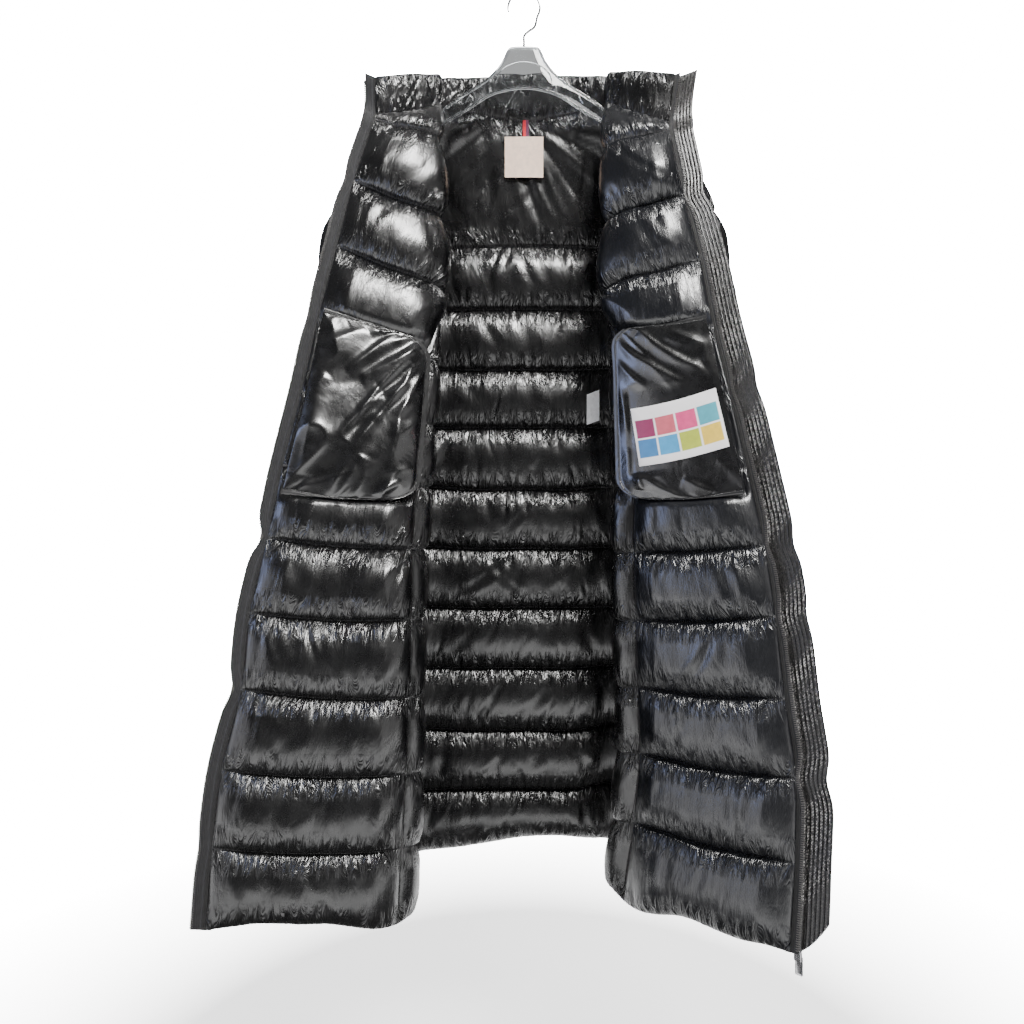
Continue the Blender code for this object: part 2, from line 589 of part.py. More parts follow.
def make_tape(name, side, collar_end, width, mat, collection):
    edge, outward = zip_edge(side, collar_end, STRIP_ROWS)
    steps = TAPE_GAP + width * np.array([0.0, 0.72, 0.86, 1.0])
    middle = strip_along(edge, outward, steps, 0.0)
    half = np.array([TAPE_HALF, TAPE_HALF, TEETH_HALF, TEETH_HALF])[None, :].repeat(len(middle), axis=0)
    return wall_mesh(name, middle, half, mat, collection)


def make_placket(name, side, collar_end, mat, collection):
    """The wind flap behind the left zip: parallel stitched rows raised between their seams."""
    edge, outward = zip_edge(side, collar_end, STRIP_ROWS)
    columns = 2 * PLACKET_ROWS + 1
    steps = PLACKET_START + PLACKET_WIDTH * np.linspace(0.0, 1.0, columns)
    ridge = PLACKET_RIDGE * (np.arange(columns) % 2)
    middle = strip_along(edge, outward, steps, PLACKET_DEPTH)
    half = (PLACKET_HALF + ridge)[None, :].repeat(len(middle), axis=0)
    return wall_mesh(name, middle, half, mat, collection)


def over_front(side, line, across, lift):
    """A point over the visible side of a front, a lift above its fullest part.

    across runs from the zip (0) to the fold (1).
    """
    spread = np.clip(across + np.array([0.0, -0.2, -0.1, 0.1, 0.2]), 0.0, 1.0)
    points, normals = side.between(line, ZIP, FOLD, spread)
    direction = normals.mean(axis=0)
    direction /= np.linalg.norm(direction)
    direction *= -np.sign(direction[1])
    return points[0] + direction * (BODY_PUFF + SEAM_HALF + lift)


def make_pocket(name, side, bag, mat, collection):
    """A flat unquilted pocket bag on the inside of a front, its corners by the fold rounded."""
    middle = []
    for part in POCKET_ROWS:
        from_end = min(part, 1.0 - part) * (bag.low_zip - bag.top_zip)
        cut = max(0.0, 1.0 - from_end / POCKET_CORNER_LINES)
        far = bag.far_side - POCKET_CORNER_ACROSS * (1.0 - (1.0 - cut**2) ** 0.5)
        row = []
        for across in np.linspace(POCKET_START, far, POCKET_COLUMNS):
            top = bag.top_zip + (bag.top_fold - bag.top_zip) * across
            low = bag.low_zip + (bag.low_fold - bag.low_zip) * across
            row.append(over_front(side, top + (low - top) * part, across, POCKET_LIFT))
        middle.append(row)
    middle = np.array(middle)
    return wall_mesh(name, middle, np.full(middle.shape[:2], POCKET_HALF), mat, collection)


def make_printed_label(side, mat, collection):
    near_top, far_top, far_low, near_low = (np.array(corner) for corner in PRINT_CORNERS)
    middle = []
    for down in np.linspace(0.0, 1.0, 5):
        start = near_top + (near_low - near_top) * down
        end = far_top + (far_low - far_top) * down
        patch = [start + (end - start) * part for part in np.linspace(0.0, 1.0, 7)]
        middle.append([over_front(side, line, across, PRINT_LIFT) for line, across in patch])
    middle = np.array(middle)
    return wall_mesh("printed_label", middle, np.full(middle.shape[:2], PRINT_HALF), mat, collection)


def plate(name, size, mat, collection):
    """A thin flat piece from one corner and two edge vectors."""
    corner, right, down = Vector(size.corner), Vector(size.right), Vector(size.down)
    bpy.ops.mesh.primitive_cube_add(size=1.0)
    obj = bpy.context.object
    obj.name = name
    obj.data.name = name
    normal = right.cross(down).normalized() * size.thickness
    centre = corner + right / 2 + down / 2
    frame = Matrix((right, down, normal)).transposed().to_4x4()
    obj.data.transform(Matrix.Translation(centre) @ frame)
    shape = bmesh.new()
    shape.from_mesh(obj.data)
    bmesh.ops.recalc_face_normals(shape, faces=shape.faces)
    shape.to_mesh(obj.data)
    shape.free()
    for owner in list(obj.users_collection):
        owner.objects.unlink(obj)
    collection.objects.link(obj)
    obj.data.materials.append(mat)
    return obj


# ---- the hanger ----


def flat_outline(name, points, half, mat, collection):
    """A plate in the XZ plane cut from an outline."""
    curve = bpy.data.curves.new(name, "CURVE")
    curve.dimensions = "2D"
    curve.fill_mode = "BOTH"
    curve.extrude = half
    curve.resolution_u = 1
    spline = curve.splines.new("POLY")
    spline.points.add(len(points) - 1)
    for target, (x, z) in zip(spline.points, points):
        target.co = (x, z, 0.0, 1.0)
    spline.use_cyclic_u = True
    obj = bpy.data.objects.new(name, curve)
    obj.rotation_euler = (pi / 2, 0.0, 0.0)
    collection.objects.link(obj)
    bpy.context.view_layer.update()
    return made_mesh(obj, name, mat, collection)


def made_mesh(obj, name, mat, collection):
    """The evaluated curve as a welded mesh object that takes its place."""
    depsgraph = bpy.context.evaluated_depsgraph_get()
    mesh = bpy.data.meshes.new_from_object(obj.evaluated_get(depsgraph))
    world = obj.matrix_world.copy()
    bpy.data.objects.remove(obj, do_unlink=True)
    mesh.name = name
    shape = bmesh.new()
    shape.from_mesh(mesh)
    bmesh.ops.remove_doubles(shape, verts=shape.verts, dist=1e-5)
    bmesh.ops.recalc_face_normals(shape, faces=shape.faces)
    shape.to_mesh(mesh)
    shape.free()
    mesh.materials.clear()
    mesh.materials.append(mat)
    mesh.shade_smooth()
    mesh.set_sharp_from_angle(angle=radians(40))
    result = bpy.data.objects.new(name, mesh)
    result.matrix_world = world
    collection.objects.link(result)
    return result


def make_hanger(mat, collection):
    right = [*HANGER_TOP, *HANGER_UNDER]
    left = [Outline(-p.x, p.z) for p in reversed(right) if p.x > 0.0]
    points = right + left
    return flat_outline("hanger", points, HANGER_HALF, mat, collection)


def wire(name, points, radius, mat, collection, sides=3):
    curve = bpy.data.curves.new(name, "CURVE")
    curve.dimensions = "3D"
    curve.bevel_depth = radius
    curve.bevel_resolution = sides
    curve.use_fill_caps = True
    spline = curve.splines.new("POLY")
    spline.points.add(len(points) - 1)
    for target, point in zip(spline.points, points):
        target.co = (*point, 1.0)
    obj = bpy.data.objects.new(name, curve)
    collection.objects.link(obj)
    bpy.context.view_layer.update()
    return made_mesh(obj, name, mat, collection)


def make_hook(mat, collection):
    """A plain wire hook: straight out of the hanger's neck, then over three quarters of a turn."""
    radius = HOOK_RADIUS + HOOK_WIRE
    low = HANGER_TOP[0].z + SEAM_GAP
    turns = [radians(angle) for angle in range(HOOK_START, HOOK_END + 1, HOOK_STEP)]
    arc = [(-radius * sin(turn), 0.0, radius * cos(turn) - HOOK_RADIUS) for turn in turns]
    stem = [(bend.out * arc[0][0], 0.0, low + bend.rise) for bend in HOOK_BEND]
    return wire("hook", stem + arc, HOOK_WIRE, mat, collection)


# ---- zip slider and pull ----


def zip_foot_frame(side):
    """Place and axes of the pull's axis: across the tape, outward from the coat, up."""
    near, far = (side.place(LINES - 0.2, knot)[0] for knot in (ZIP, ZIP + 0.3))
    across = near - far
    across[2] = 0.0
    across /= np.linalg.norm(across)
    outward = np.array([-across[1], across[0], 0.0])
    outward *= np.sign(outward[1])
    across = np.array([outward[1], -outward[0], 0.0])
    foot = side.place(LINES, ZIP)[0]
    away = TEETH_HALF + SEAM_GAP + SLIDER_SIZE[1] + SLIDER_CLEAR
    place = foot + across * LEFT_TAPE_WIDTH * 0.8 + outward * away
    frame = Matrix.Identity(4)
    for row in range(3):
        frame[row][0], frame[row][1] = across[row], outward[row]
    frame.translation = Vector((place[0], place[1], foot[2] - PULL_DROP))
    return frame


def box_mesh(shape, size, centre):
    made = bmesh.ops.create_cube(shape, size=1.0)
    matrix = Matrix.Translation(centre) @ Matrix.Diagonal((*size, 1.0))
    bmesh.ops.transform(shape, matrix=matrix, verts=made["verts"])


def local_object(name, shape, frame, mat, collection):
    mesh = bpy.data.meshes.new(name)
    shape.to_mesh(mesh)
    shape.free()
    obj = bpy.data.objects.new(name, mesh)
    obj.matrix_world = frame
    obj.data.materials.append(mat)
    collection.objects.link(obj)
    return obj


def make_slider(frame, mat, cutters, collection):
    """Slider body with an arched bridge that holds the pull."""
    shape = bmesh.new()
    box_mesh(shape, SLIDER_SIZE, (0.0, -SLIDER_CLEAR - SLIDER_SIZE[1] / 2, SLIDER_RISE))
    body = local_object("slider", shape, frame, mat, collection)
    bevel = body.modifiers.new("rounded edges", "BEVEL")
    bevel.width = 0.0009
    bevel.segments = 2
    turns = [radians(90 - 180 * step / 8) for step in range(9)]
    arch = [(0.0, -SLIDER_CLEAR - BRIDGE_ROOT, BRIDGE_RADIUS)]
    arch += [(0.0, BRIDGE_RADIUS * cos(turn), BRIDGE_RADIUS * sin(turn)) for turn in turns]
    arch += [(0.0, -SLIDER_CLEAR - BRIDGE_ROOT, -BRIDGE_RADIUS)]
    bridge = wire("slider_bridge", arch, BRIDGE_WIRE, mat, cutters, sides=1)
    bridge.matrix_world = frame
    bridge.hide_render = True
    bridge.display_type = "WIRE"
    join = body.modifiers.new("bridge", "BOOLEAN")
    join.operation = "UNION"
    join.object = bridge
    return body


def make_pull(frame, mat, cutters, collection):
    """Flat pull tab with a slot at its top; its origin is on the axis it swings about."""
    shape = bmesh.new()
    box_mesh(shape, (PULL_WIDTH, PULL_THICK, PULL_LENGTH), (0.0, 0.0, PULL_BAR - PULL_LENGTH / 2))
    pull = local_object("zip_pull", shape, frame, mat, collection)
    slot = bmesh.new()
    box_mesh(slot, PULL_SLOT, (0.0, 0.0, -PULL_BAR - PULL_SLOT[2] / 2))
    cutter = local_object("pull_slot", slot, frame, mat, cutters)
    cutter.hide_render = True
    cutter.display_type = "WIRE"
    cut = pull.modifiers.new("slot", "BOOLEAN")
    cut.operation = "DIFFERENCE"
    cut.object = cutter
    bevel = pull.modifiers.new("rounded edges", "BEVEL")
    bevel.width = 0.0003
    bevel.segments = 1
    bevel.limit_method = "ANGLE"
    return pull


def main():
    clear_scene()
    parts = new_collection("long_puffer_coat")
    cutters = new_collection("cutters")
    nylon = material("lacquered_nylon", COAT, 0.22)
    lining = material("pocket_nylon", (0.010, 0.010, 0.012), 0.16)
    tape = material("zip_tape", (0.030, 0.030, 0.033), 0.75)
    trim = material("placket_nylon", (0.020, 0.019, 0.019), 0.30)
    steel = material("polished_steel", (0.62, 0.62, 0.64), 0.25, metallic=1.0)
    clear = material("clear_acrylic", (0.82, 0.86, 0.88), 0.08, alpha=0.35)
    label = material("woven_label", (0.78, 0.72, 0.64), 0.80)
    loop_red = material("loop_tape", (0.55, 0.02, 0.04), 0.60)
    print_label = material("printed_label", (0.75, 0.75, 0.78), 0.50)

    right = BodySide(knot_tables(RIGHT_FRONT, RIGHT_HIDDEN, -1))
    left = BodySide(knot_tables(LEFT_FRONT, LEFT_HIDDEN, 1))
    make_front("front_right", right, nylon, parts)
    make_front("front_left", left, nylon, parts)
    make_side("side_right", right, nylon, parts)
    make_side("side_left", left, nylon, parts)
    make_back("back", right, left, nylon, parts)
    seam, top = neck_curve(right, left, COLLAR_COLUMNS)
    make_collar("collar", seam, top, nylon, parts)
    make_sleeve("sleeve_right", right, -1, nylon, parts)
    make_sleeve("sleeve_left", left, 1, nylon, parts)
    make_tape("zip_tape_right", right, (seam[0], top[0]), TAPE_WIDTH, tape, parts)
    make_tape("zip_tape_left", left, (seam[-1], top[-1]), LEFT_TAPE_WIDTH, tape, parts)
    make_placket("placket", left, (seam[-1], top[-1]), trim, parts)
    make_pocket("pocket_right", right, RIGHT_POCKET, lining, parts)
    make_pocket("pocket_left", left, LEFT_POCKET, lining, parts)
    make_hanger(clear, parts)
    make_hook(steel, parts)
    make_printed_label(left, print_label, parts)
    plate("neck_label", NECK_LABEL, label, parts)
    plate("hanging_loop", HANGING_LOOP, loop_red, parts)
    plate("care_label", CARE_LABEL, label, parts)
    frame = zip_foot_frame(left)
    make_slider(frame, steel, cutters, parts)
    make_pull(frame, steel, cutters, parts)


main()
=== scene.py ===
"""Long quilted down coat, open on a clear hanger: the finished garment around its fixed frame.

Every quilted panel is worked out again from the coat's section tables at a few millimetres'
pitch. Each of its two faces gets its own gathers along the stitching, longer folds and uneven
filling, so that the lacquered cloth has real creases to shine on.
"""

import json
from collections import namedtuple
from math import cos, pi, radians, sin

import bmesh
import bpy
import numpy as np
from bpy.props import FloatProperty, FloatVectorProperty, PointerProperty
from mathutils import Matrix, Vector

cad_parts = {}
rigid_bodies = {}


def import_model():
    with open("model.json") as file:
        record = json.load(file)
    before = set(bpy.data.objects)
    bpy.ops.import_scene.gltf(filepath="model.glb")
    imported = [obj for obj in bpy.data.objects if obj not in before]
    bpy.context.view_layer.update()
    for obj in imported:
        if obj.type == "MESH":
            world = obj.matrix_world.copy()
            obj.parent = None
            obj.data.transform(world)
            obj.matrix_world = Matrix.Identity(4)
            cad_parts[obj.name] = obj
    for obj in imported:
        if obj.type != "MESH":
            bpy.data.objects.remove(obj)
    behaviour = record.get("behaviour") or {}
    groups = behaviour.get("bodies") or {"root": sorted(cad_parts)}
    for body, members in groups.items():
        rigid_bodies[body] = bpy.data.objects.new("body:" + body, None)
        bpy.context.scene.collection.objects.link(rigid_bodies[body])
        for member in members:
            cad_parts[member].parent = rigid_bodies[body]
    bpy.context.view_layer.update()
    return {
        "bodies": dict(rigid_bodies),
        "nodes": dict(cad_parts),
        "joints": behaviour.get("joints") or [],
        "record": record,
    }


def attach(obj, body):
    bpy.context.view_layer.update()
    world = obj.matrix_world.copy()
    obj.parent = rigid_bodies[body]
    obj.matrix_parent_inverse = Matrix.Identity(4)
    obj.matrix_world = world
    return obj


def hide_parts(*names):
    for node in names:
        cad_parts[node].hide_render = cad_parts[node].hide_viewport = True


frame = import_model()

bl_info = {
    "name": "Long puffer coat",
    "version": (1, 0, 0),
    "blender": (4, 5, 0),
    "location": "View3D > Sidebar > Coat",
    "description": "Dresses the frame of a long quilted coat on a clear hanger",
    "category": "Object",
}

# ---- the coat's sizes, metres ----
SEAM_GAP = 0.0003
SEAM_LAP = 0.0007  # how far each panel runs on past its seam
SEAM_HALF = 0.0011
BODY_PUFF = 0.0105
SIDE_PUFF = 0.0090
SLEEVE_PUFF = 0.0068
COLLAR_PUFF = 0.0085
PUFF_RAMP = 0.034
FULL_CHANNEL = 0.080
LINES = 12
UNDERARM_LINE = 2.84
TAPE_WIDTH = 0.0165
LEFT_TAPE_WIDTH = 0.0085
PLACKET_WIDTH = 0.0335
PLACKET_ROWS = 7
PLACKET_START = 0.0030
PLACKET_DEPTH = 0.0100
PLACKET_INNER_DEPTH = 0.0022
PLACKET_TUCK = 0.0055
PLACKET_TOP_DROP = 0.034
TAPE_GAP = 0.0009
EDGE_TOP_LINE = 1.6
COLLAR_GAP = -0.0040
POCKET_START = 0.045
POCKET_CORNER_LINES = 0.33
POCKET_CORNER_ACROSS = 0.22
POCKET_LIFT = 0.0016
PRINT_LIFT = 0.0032
ARMHOLE_STEP = 0.0012
ARMHOLE_POINTS = 7  # points down each side of the armhole
TEETH_HALF = 0.0015
PULL_LENGTH = 0.0212
PULL_WIDTH = 0.0085
PULL_THICK = 0.0012
PULL_BAR = 0.0006
PULL_SLOT = (0.0030, 0.0100, 0.0040)
PULL_DROP = 0.0045
SLIDER_SIZE = (0.0085, 0.0034, 0.0120)
SLIDER_CLEAR = 0.0012
HOOK_WIRE = 0.0019
HOOK_RADIUS = 0.021
GRID_PER_LINE = 30  # fine rows of the body's grid between two quilting lines
GRID_PER_KNOT = 20  # fine columns between two knots of a section

# One row for each quilting line of a turned front. Widths are distances out from the middle.
# zip: the free edge. face: the seam or turn on the visible side. fold: the innermost edge.
Front = namedtuple("Front", "zip_x zip_y zip_z face_x face_y face_z fold_x fold_y fold_z")
RIGHT_FRONT = (
    Front(0.203, -0.058, -0.208, 0.141, -0.031, -0.184, 0.123, -0.0032, -0.160),
    Front(0.203, -0.066, -0.219, 0.141, -0.064, -0.233, 0.120, -0.050, -0.235),
    Front(0.228, -0.082, -0.311, 0.140, -0.072, -0.342, 0.120, -0.055, -0.343),
    Front(0.246, -0.100, -0.405, 0.134, -0.082, -0.444, 0.117, -0.066, -0.447),
    Front(0.266, -0.118, -0.506, 0.135, -0.097, -0.556, 0.120, -0.083, -0.551),
    Front(0.282, -0.136, -0.604, 0.137, -0.111, -0.641, 0.124, -0.098, -0.639),
    Front(0.300, -0.153, -0.699, 0.140, -0.127, -0.725, 0.128, -0.114, -0.723),
    Front(0.314, -0.170, -0.790, 0.142, -0.143, -0.803, 0.133, -0.130, -0.803),
    Front(0.329, -0.187, -0.880, 0.141, -0.158, -0.891, 0.134, -0.144, -0.892),
    Front(0.334, -0.203, -0.969, 0.142, -0.170, -0.985, 0.133, -0.156, -0.987),
    Front(0.350, -0.220, -1.059, 0.144, -0.180, -1.075, 0.133, -0.166, -1.078),
    Front(0.355, -0.235, -1.143, 0.149, -0.187, -1.162, 0.137, -0.172, -1.165),
    Front(0.356, -0.250, -1.229, 0.153, -0.190, -1.252, 0.143, -0.175, -1.251),
)
LEFT_FRONT = (
    Front(0.199, -0.058, -0.218, 0.139, -0.031, -0.186, 0.123, -0.0032, -0.160),
    Front(0.198, -0.066, -0.235, 0.134, -0.064, -0.248, 0.114, -0.050, -0.251),
    Front(0.214, -0.082, -0.330, 0.137, -0.068, -0.347, 0.117, -0.051, -0.353),
    Front(0.231, -0.102, -0.423, 0.135, -0.076, -0.443, 0.115, -0.058, -0.449),
    Front(0.243, -0.122, -0.515, 0.146, -0.083, -0.539, 0.125, -0.065, -0.537),
    Front(0.259, -0.143, -0.606, 0.148, -0.088, -0.631, 0.127, -0.070, -0.631),
    Front(0.275, -0.163, -0.703, 0.148, -0.092, -0.720, 0.128, -0.074, -0.719),
    Front(0.290, -0.184, -0.799, 0.146, -0.096, -0.808, 0.126, -0.078, -0.808),
    Front(0.297, -0.203, -0.883, 0.148, -0.100, -0.897, 0.128, -0.081, -0.899),
    Front(0.302, -0.222, -0.976, 0.150, -0.103, -0.985, 0.131, -0.084, -0.988),
    Front(0.308, -0.240, -1.063, 0.152, -0.106, -1.071, 0.133, -0.086, -1.075),
    Front(0.301, -0.256, -1.152, 0.144, -0.107, -1.161, 0.125, -0.087, -1.165),
    Front(0.291, -0.270, -1.243, 0.131, -0.107, -1.263, 0.115, -0.087, -1.250),
)

# Behind the fold, at a few quilting lines. turn: just behind the fold. under: the front edge of
# the armhole, lower down the middle of the side panel. seam: the back edge of the armhole, lower
# down the side seam. outer: the back panel near that seam.
Hidden = namedtuple(
    "Hidden",
    "line turn_x turn_y under_x under_y under_z seam_x seam_y seam_z outer_x outer_y outer_z",
)
RIGHT_HIDDEN = (
    Hidden(0, 0.140, -0.0026, 0.205, -0.0024, -0.200, 0.205, 0.0024, -0.200, 0.122, 0.0030, -0.160),
    Hidden(1, 0.138, -0.0330, 0.199, -0.0310, -0.262, 0.202, 0.0300, -0.262, 0.166, 0.0440, -0.262),
    Hidden(2, 0.137, -0.0330, 0.184, -0.0260, -0.355, 0.192, 0.0360, -0.350, 0.156, 0.0500, -0.349),
    Hidden(3, 0.135, -0.0310, 0.156, -0.0050, -0.447, 0.172, 0.0380, -0.444, 0.138, 0.0520, -0.443),
    Hidden(5, 0.134, -0.0600, 0.150, -0.0080, -0.630, 0.168, 0.0400, -0.622, 0.135, 0.0540, -0.621),
    Hidden(8, 0.143, -0.0950, 0.158, -0.0250, -0.892, 0.178, 0.0400, -0.892, 0.144, 0.0540, -0.892),
    Hidden(12, 0.153, -0.1200, 0.172, -0.0350, -1.256, 0.200, 0.0360, -1.262, 0.160, 0.0520, -1.262),
)
LEFT_HIDDEN = (
    Hidden(0, 0.140, -0.0026, 0.205, -0.0024, -0.200, 0.205, 0.0024, -0.200, 0.122, 0.0030, -0.160),
    Hidden(1, 0.136, -0.0330, 0.199, -0.0310, -0.262, 0.202, 0.0300, -0.262, 0.166, 0.0440, -0.262),
    Hidden(2, 0.135, -0.0320, 0.184, -0.0260, -0.355, 0.190, 0.0360, -0.350, 0.150, 0.0500, -0.349),
    Hidden(3, 0.130, -0.0330, 0.152, -0.0060, -0.447, 0.160, 0.0360, -0.444, 0.126, 0.0510, -0.443),
    Hidden(5, 0.138, -0.0400, 0.152, -0.0060, -0.630, 0.132, 0.0390, -0.622, 0.100, 0.0520, -0.621),
    Hidden(8, 0.138, -0.0500, 0.156, -0.0070, -0.892, 0.162, 0.0390, -0.892, 0.128, 0.0530, -0.892),
    Hidden(12, 0.130, -0.0550, 0.160, -0.0100, -1.250, 0.178, 0.0360, -1.246, 0.140, 0.0510, -1.244),
)

# Middle of the back, by quilting line: its depth and height. The quarter lies between it and outer.
Back = namedtuple("Back", "middle_y middle_z quarter_x quarter_y quarter_z")
BACK = (
    Back(0.035, -0.165, 0.080, 0.0210, -0.158),
    Back(0.044, -0.256, 0.080, 0.0450, -0.258),
    Back(0.048, -0.348, 0.075, 0.0490, -0.349),
    Back(0.050, -0.443, 0.070, 0.0510, -0.443),
    Back(0.050, -0.534, 0.068, 0.0520, -0.534),
    Back(0.050, -0.621, 0.068, 0.0520, -0.621),
    Back(0.050, -0.714, 0.068, 0.0520, -0.715),
    Back(0.050, -0.803, 0.068, 0.0520, -0.804),
    Back(0.050, -0.892, 0.070, 0.0520, -0.893),
    Back(0.050, -0.983, 0.072, 0.0520, -0.984),
    Back(0.050, -1.077, 0.075, 0.0520, -1.078),
    Back(0.050, -1.165, 0.078, 0.0520, -1.166),
    Back(0.050, -1.247, 0.080, 0.0510, -1.248),
)
HEM_SLOPE = 0.09  # the back hem rises towards +X by this much for each metre

# How far the collar's top edge stands from the neck seam, at parts of the way from the right
# zip to the left one.
Stand = namedtuple("Stand", "part out_x lean_y rise_z")
COLLAR_STAND = (
    Stand(0.00, 0.000, 0.011, 0.055),
    Stand(0.10, -0.002, 0.011, 0.055),
    Stand(0.24, 0.000, 0.011, 0.042),
    Stand(0.36, 0.000, 0.011, 0.050),
    Stand(0.50, 0.000, 0.015, 0.063),
    Stand(0.64, 0.000, 0.011, 0.052),
    Stand(0.76, 0.001, 0.011, 0.044),
    Stand(0.90, 0.006, 0.011, 0.063),
    Stand(1.00, 0.008, 0.011, 0.069),
)

# Sleeve rings at its quilting lines: the inner point, half widths, and tilt of the ring.
Ring = namedtuple("Ring", "inner_x inner_z middle_y half_width half_depth tilt")
SLEEVE_RINGS = (
    Ring(0.189, -0.425, -0.002, 0.068, 0.0290, 52),
    Ring(0.186, -0.454, -0.018, 0.056, 0.0270, 24),
    Ring(0.182, -0.490, -0.034, 0.056, 0.0255, 2),
    Ring(0.178, -0.566, -0.042, 0.060, 0.0280, -3),
    Ring(0.176, -0.644, -0.046, 0.060, 0.0290, -4),
    Ring(0.176, -0.722, -0.048, 0.058, 0.0290, -4),
    Ring(0.180, -0.800, -0.050, 0.052, 0.0260, -3),
)

# Pocket bags: the quilting lines they start and end at, beside the zip and at the fold, and how
# far they reach from the zip (0) to the fold (1).
Bag = namedtuple("Bag", "top_zip top_fold low_zip low_fold far_side")
RIGHT_POCKET = Bag(3.88, 3.70, 6.42, 6.22, 0.90)
LEFT_POCKET = Bag(3.90, 3.64, 6.36, 6.18, 0.95)

# Corners of the printed label on the left pocket bag: quilting line, and part of the way from
# the zip to the fold.
Corner = namedtuple("Corner", "line across")
PRINT_CORNERS = (Corner(4.93, 0.09), Corner(4.88, 0.80), Corner(5.74, 0.76), Corner(5.72, 0.075))

# Labels and loop: top left corner, the edge across and the edge down.
Plate = namedtuple("Plate", "corner right down thickness")
NECK_LABEL = Plate((-0.0285, 0.0262, -0.194), (0.057, 0.0, 0.0), (0.0, 0.0025, -0.059), 0.0006)
HANGING_LOOP = Plate((-0.0015, 0.0290, -0.168), (0.0085, 0.0, 0.0), (0.0, -0.0016, -0.0255), 0.0012)
CARE_LABEL = Plate((0.0935, 0.0300, -0.575), (0.0180, -0.0050, 0.006), (0.0, 0.0, -0.045), 0.0006)

# Outline of the clear hanger's right half, from the neck's top round the arm to the arch.
Outline = namedtuple("Outline", "x z")
HANGER_TOP = (
    Outline(0.000, -0.0765), Outline(0.0195, -0.0768), Outline(0.0250, -0.0810),
    Outline(0.0330, -0.1010), Outline(0.0535, -0.1240), Outline(0.0850, -0.1430),
    Outline(0.1150, -0.1635), Outline(0.1290, -0.1780), Outline(0.1600, -0.1990),
    Outline(0.1930, -0.2175),
)
HANGER_UNDER = (
    Outline(0.1960, -0.2230), Outline(0.1890, -0.2290), Outline(0.1560, -0.2180),
    Outline(0.1235, -0.1950), Outline(0.0800, -0.1700), Outline(0.0500, -0.1485),
    Outline(0.0174, -0.1400), Outline(0.000, -0.1392),
)

# Wire centres of the hook's bend above the hanger's neck: part of the way to the turn's start,
# and height above the neck.
Bend = namedtuple("Bend", "out rise")
HOOK_BEND = (Bend(0.0, 0.0), Bend(0.0, 0.008), Bend(0.0, 0.014), Bend(0.30, 0.0205), Bend(0.72, 0.0265))
HOOK_START = -120  # angles round the hook from its top, in degrees
HOOK_END = 104
HOOK_STEP = 14

# Knots of a plan section of half the body, from the zip to the middle of the back.
SECTION_KNOTS = ("zip", "bow", "face", "fold", "turn", "under", "seam", "outer", "quarter", "middle")
ZIP, BOW, FACE, FOLD, TURN, UNDER, SEAM, OUTER, QUARTER, MIDDLE = range(len(SECTION_KNOTS))

# ---- relief, creases and finish ----

# Gathers run away from a stitch line. pitch: spacing along the line. depth: how deep the valleys
# are. reach: how far they run. width: half width at the line. lean: sideways drift per metre.
Gather = namedtuple("Gather", "pitch depth reach width lean")
# Folds are the longer creases across a channel. each: spacing. share: length over the channel's
# height.
Fold = namedtuple("Fold", "each depth share width slant")
VALLEY_LIPS = ((1.7, 0.55), (-1.8, 0.25))  # place, in half widths, and height of a trough's two lips
DEPTH_SPREAD = (4.0, 0.25)  # gamma shape and scale for the depth of gathers and folds
REACH_SPREAD = (3.0, 0.33)
LOWER_GATHERS = 0.85  # depth of the gathers above a line, over those below it
GATHER_GROWTH = 0.0022  # over which a gather deepens from its stitching
GATHER_END = 0.005
FOLD_END = 0.006
FILL_GRAINS = (0.075, 0.032)
STITCH_CROWDING = 0.45  # how much closer together the rows lie at the stitching
FILL_SAG = -0.16
FILL_ROUND = (0.78, 0.36)  # how round the filling is above and below a channel's middle
# Both faces of a panel: how thick it is filled, its gathers and folds, and its roundness.
Finish = namedtuple("Finish", "puff uneven gather fold roundness", defaults=(FILL_ROUND,))
POCKET_PRESS = 0.58  # how far a bag flattens the face under it
LEFT_ROUND = (0.40, 0.60)  # how round the filling is on the left front
# Quilting lines, and at them how full a panel is and how much fuller its visible face.
FRONT_FILL = ((0, 1, 2), (0.55, 0.7, 0.95))
FRONT_SWELLS = (
    ((0, 1, 1.6, 3), (1.1, 1.3, 1.7, 1.65)),
    ((0, 1, 1.6, 3), (1.3, 1.4, 1.7, 1.65)),
)
LEFT_WEDGE = ((0.0, 0.1, 0.6), (1.9, 1.75, 0.7))  # across the left front's first channels
BACK_FILL = ((0, 2), (0.75, 1.0))
BACK_SWELL = ((0, 2, 2.3, 7, 11), (1.1, 1.15, 1.55, 1.65, 1.9))
ROW_PITCH = 1.1  # spacing of the points down the cloth, over their spacing across it
SIDE_PITCH, BACK_PITCH, SLEEVE_PITCH = 1.25, 1.2, 1.45  # spacing of points over that of the fronts
CHANNEL_HEIGHT = 0.090  # about, from one quilting line to the next
SLEEVE_CHANNEL = 0.085
FRONT_CUT, SIDE_CUT, BACK_HALF_CUT, SLEEVE_CUT = 0.245, 0.150, 0.225, 0.30  # widths, to set the columns

# Lift of the hems in metres, from the zip to the side and from the right seam to the left.
FRONT_HEMS = (
    (0.0, 0.005, 0.010, 0.011, 0.010, 0.011, 0.008, 0.003, 0.0),
    (0.0, 0.002, 0.001, 0.004, 0.008, 0.010, 0.006, 0.002, 0.0),
)
BACK_HEM = (0.0, 0.001, 0.002, 0.006, 0.009, 0.006, 0.001, 0.002, 0.0)

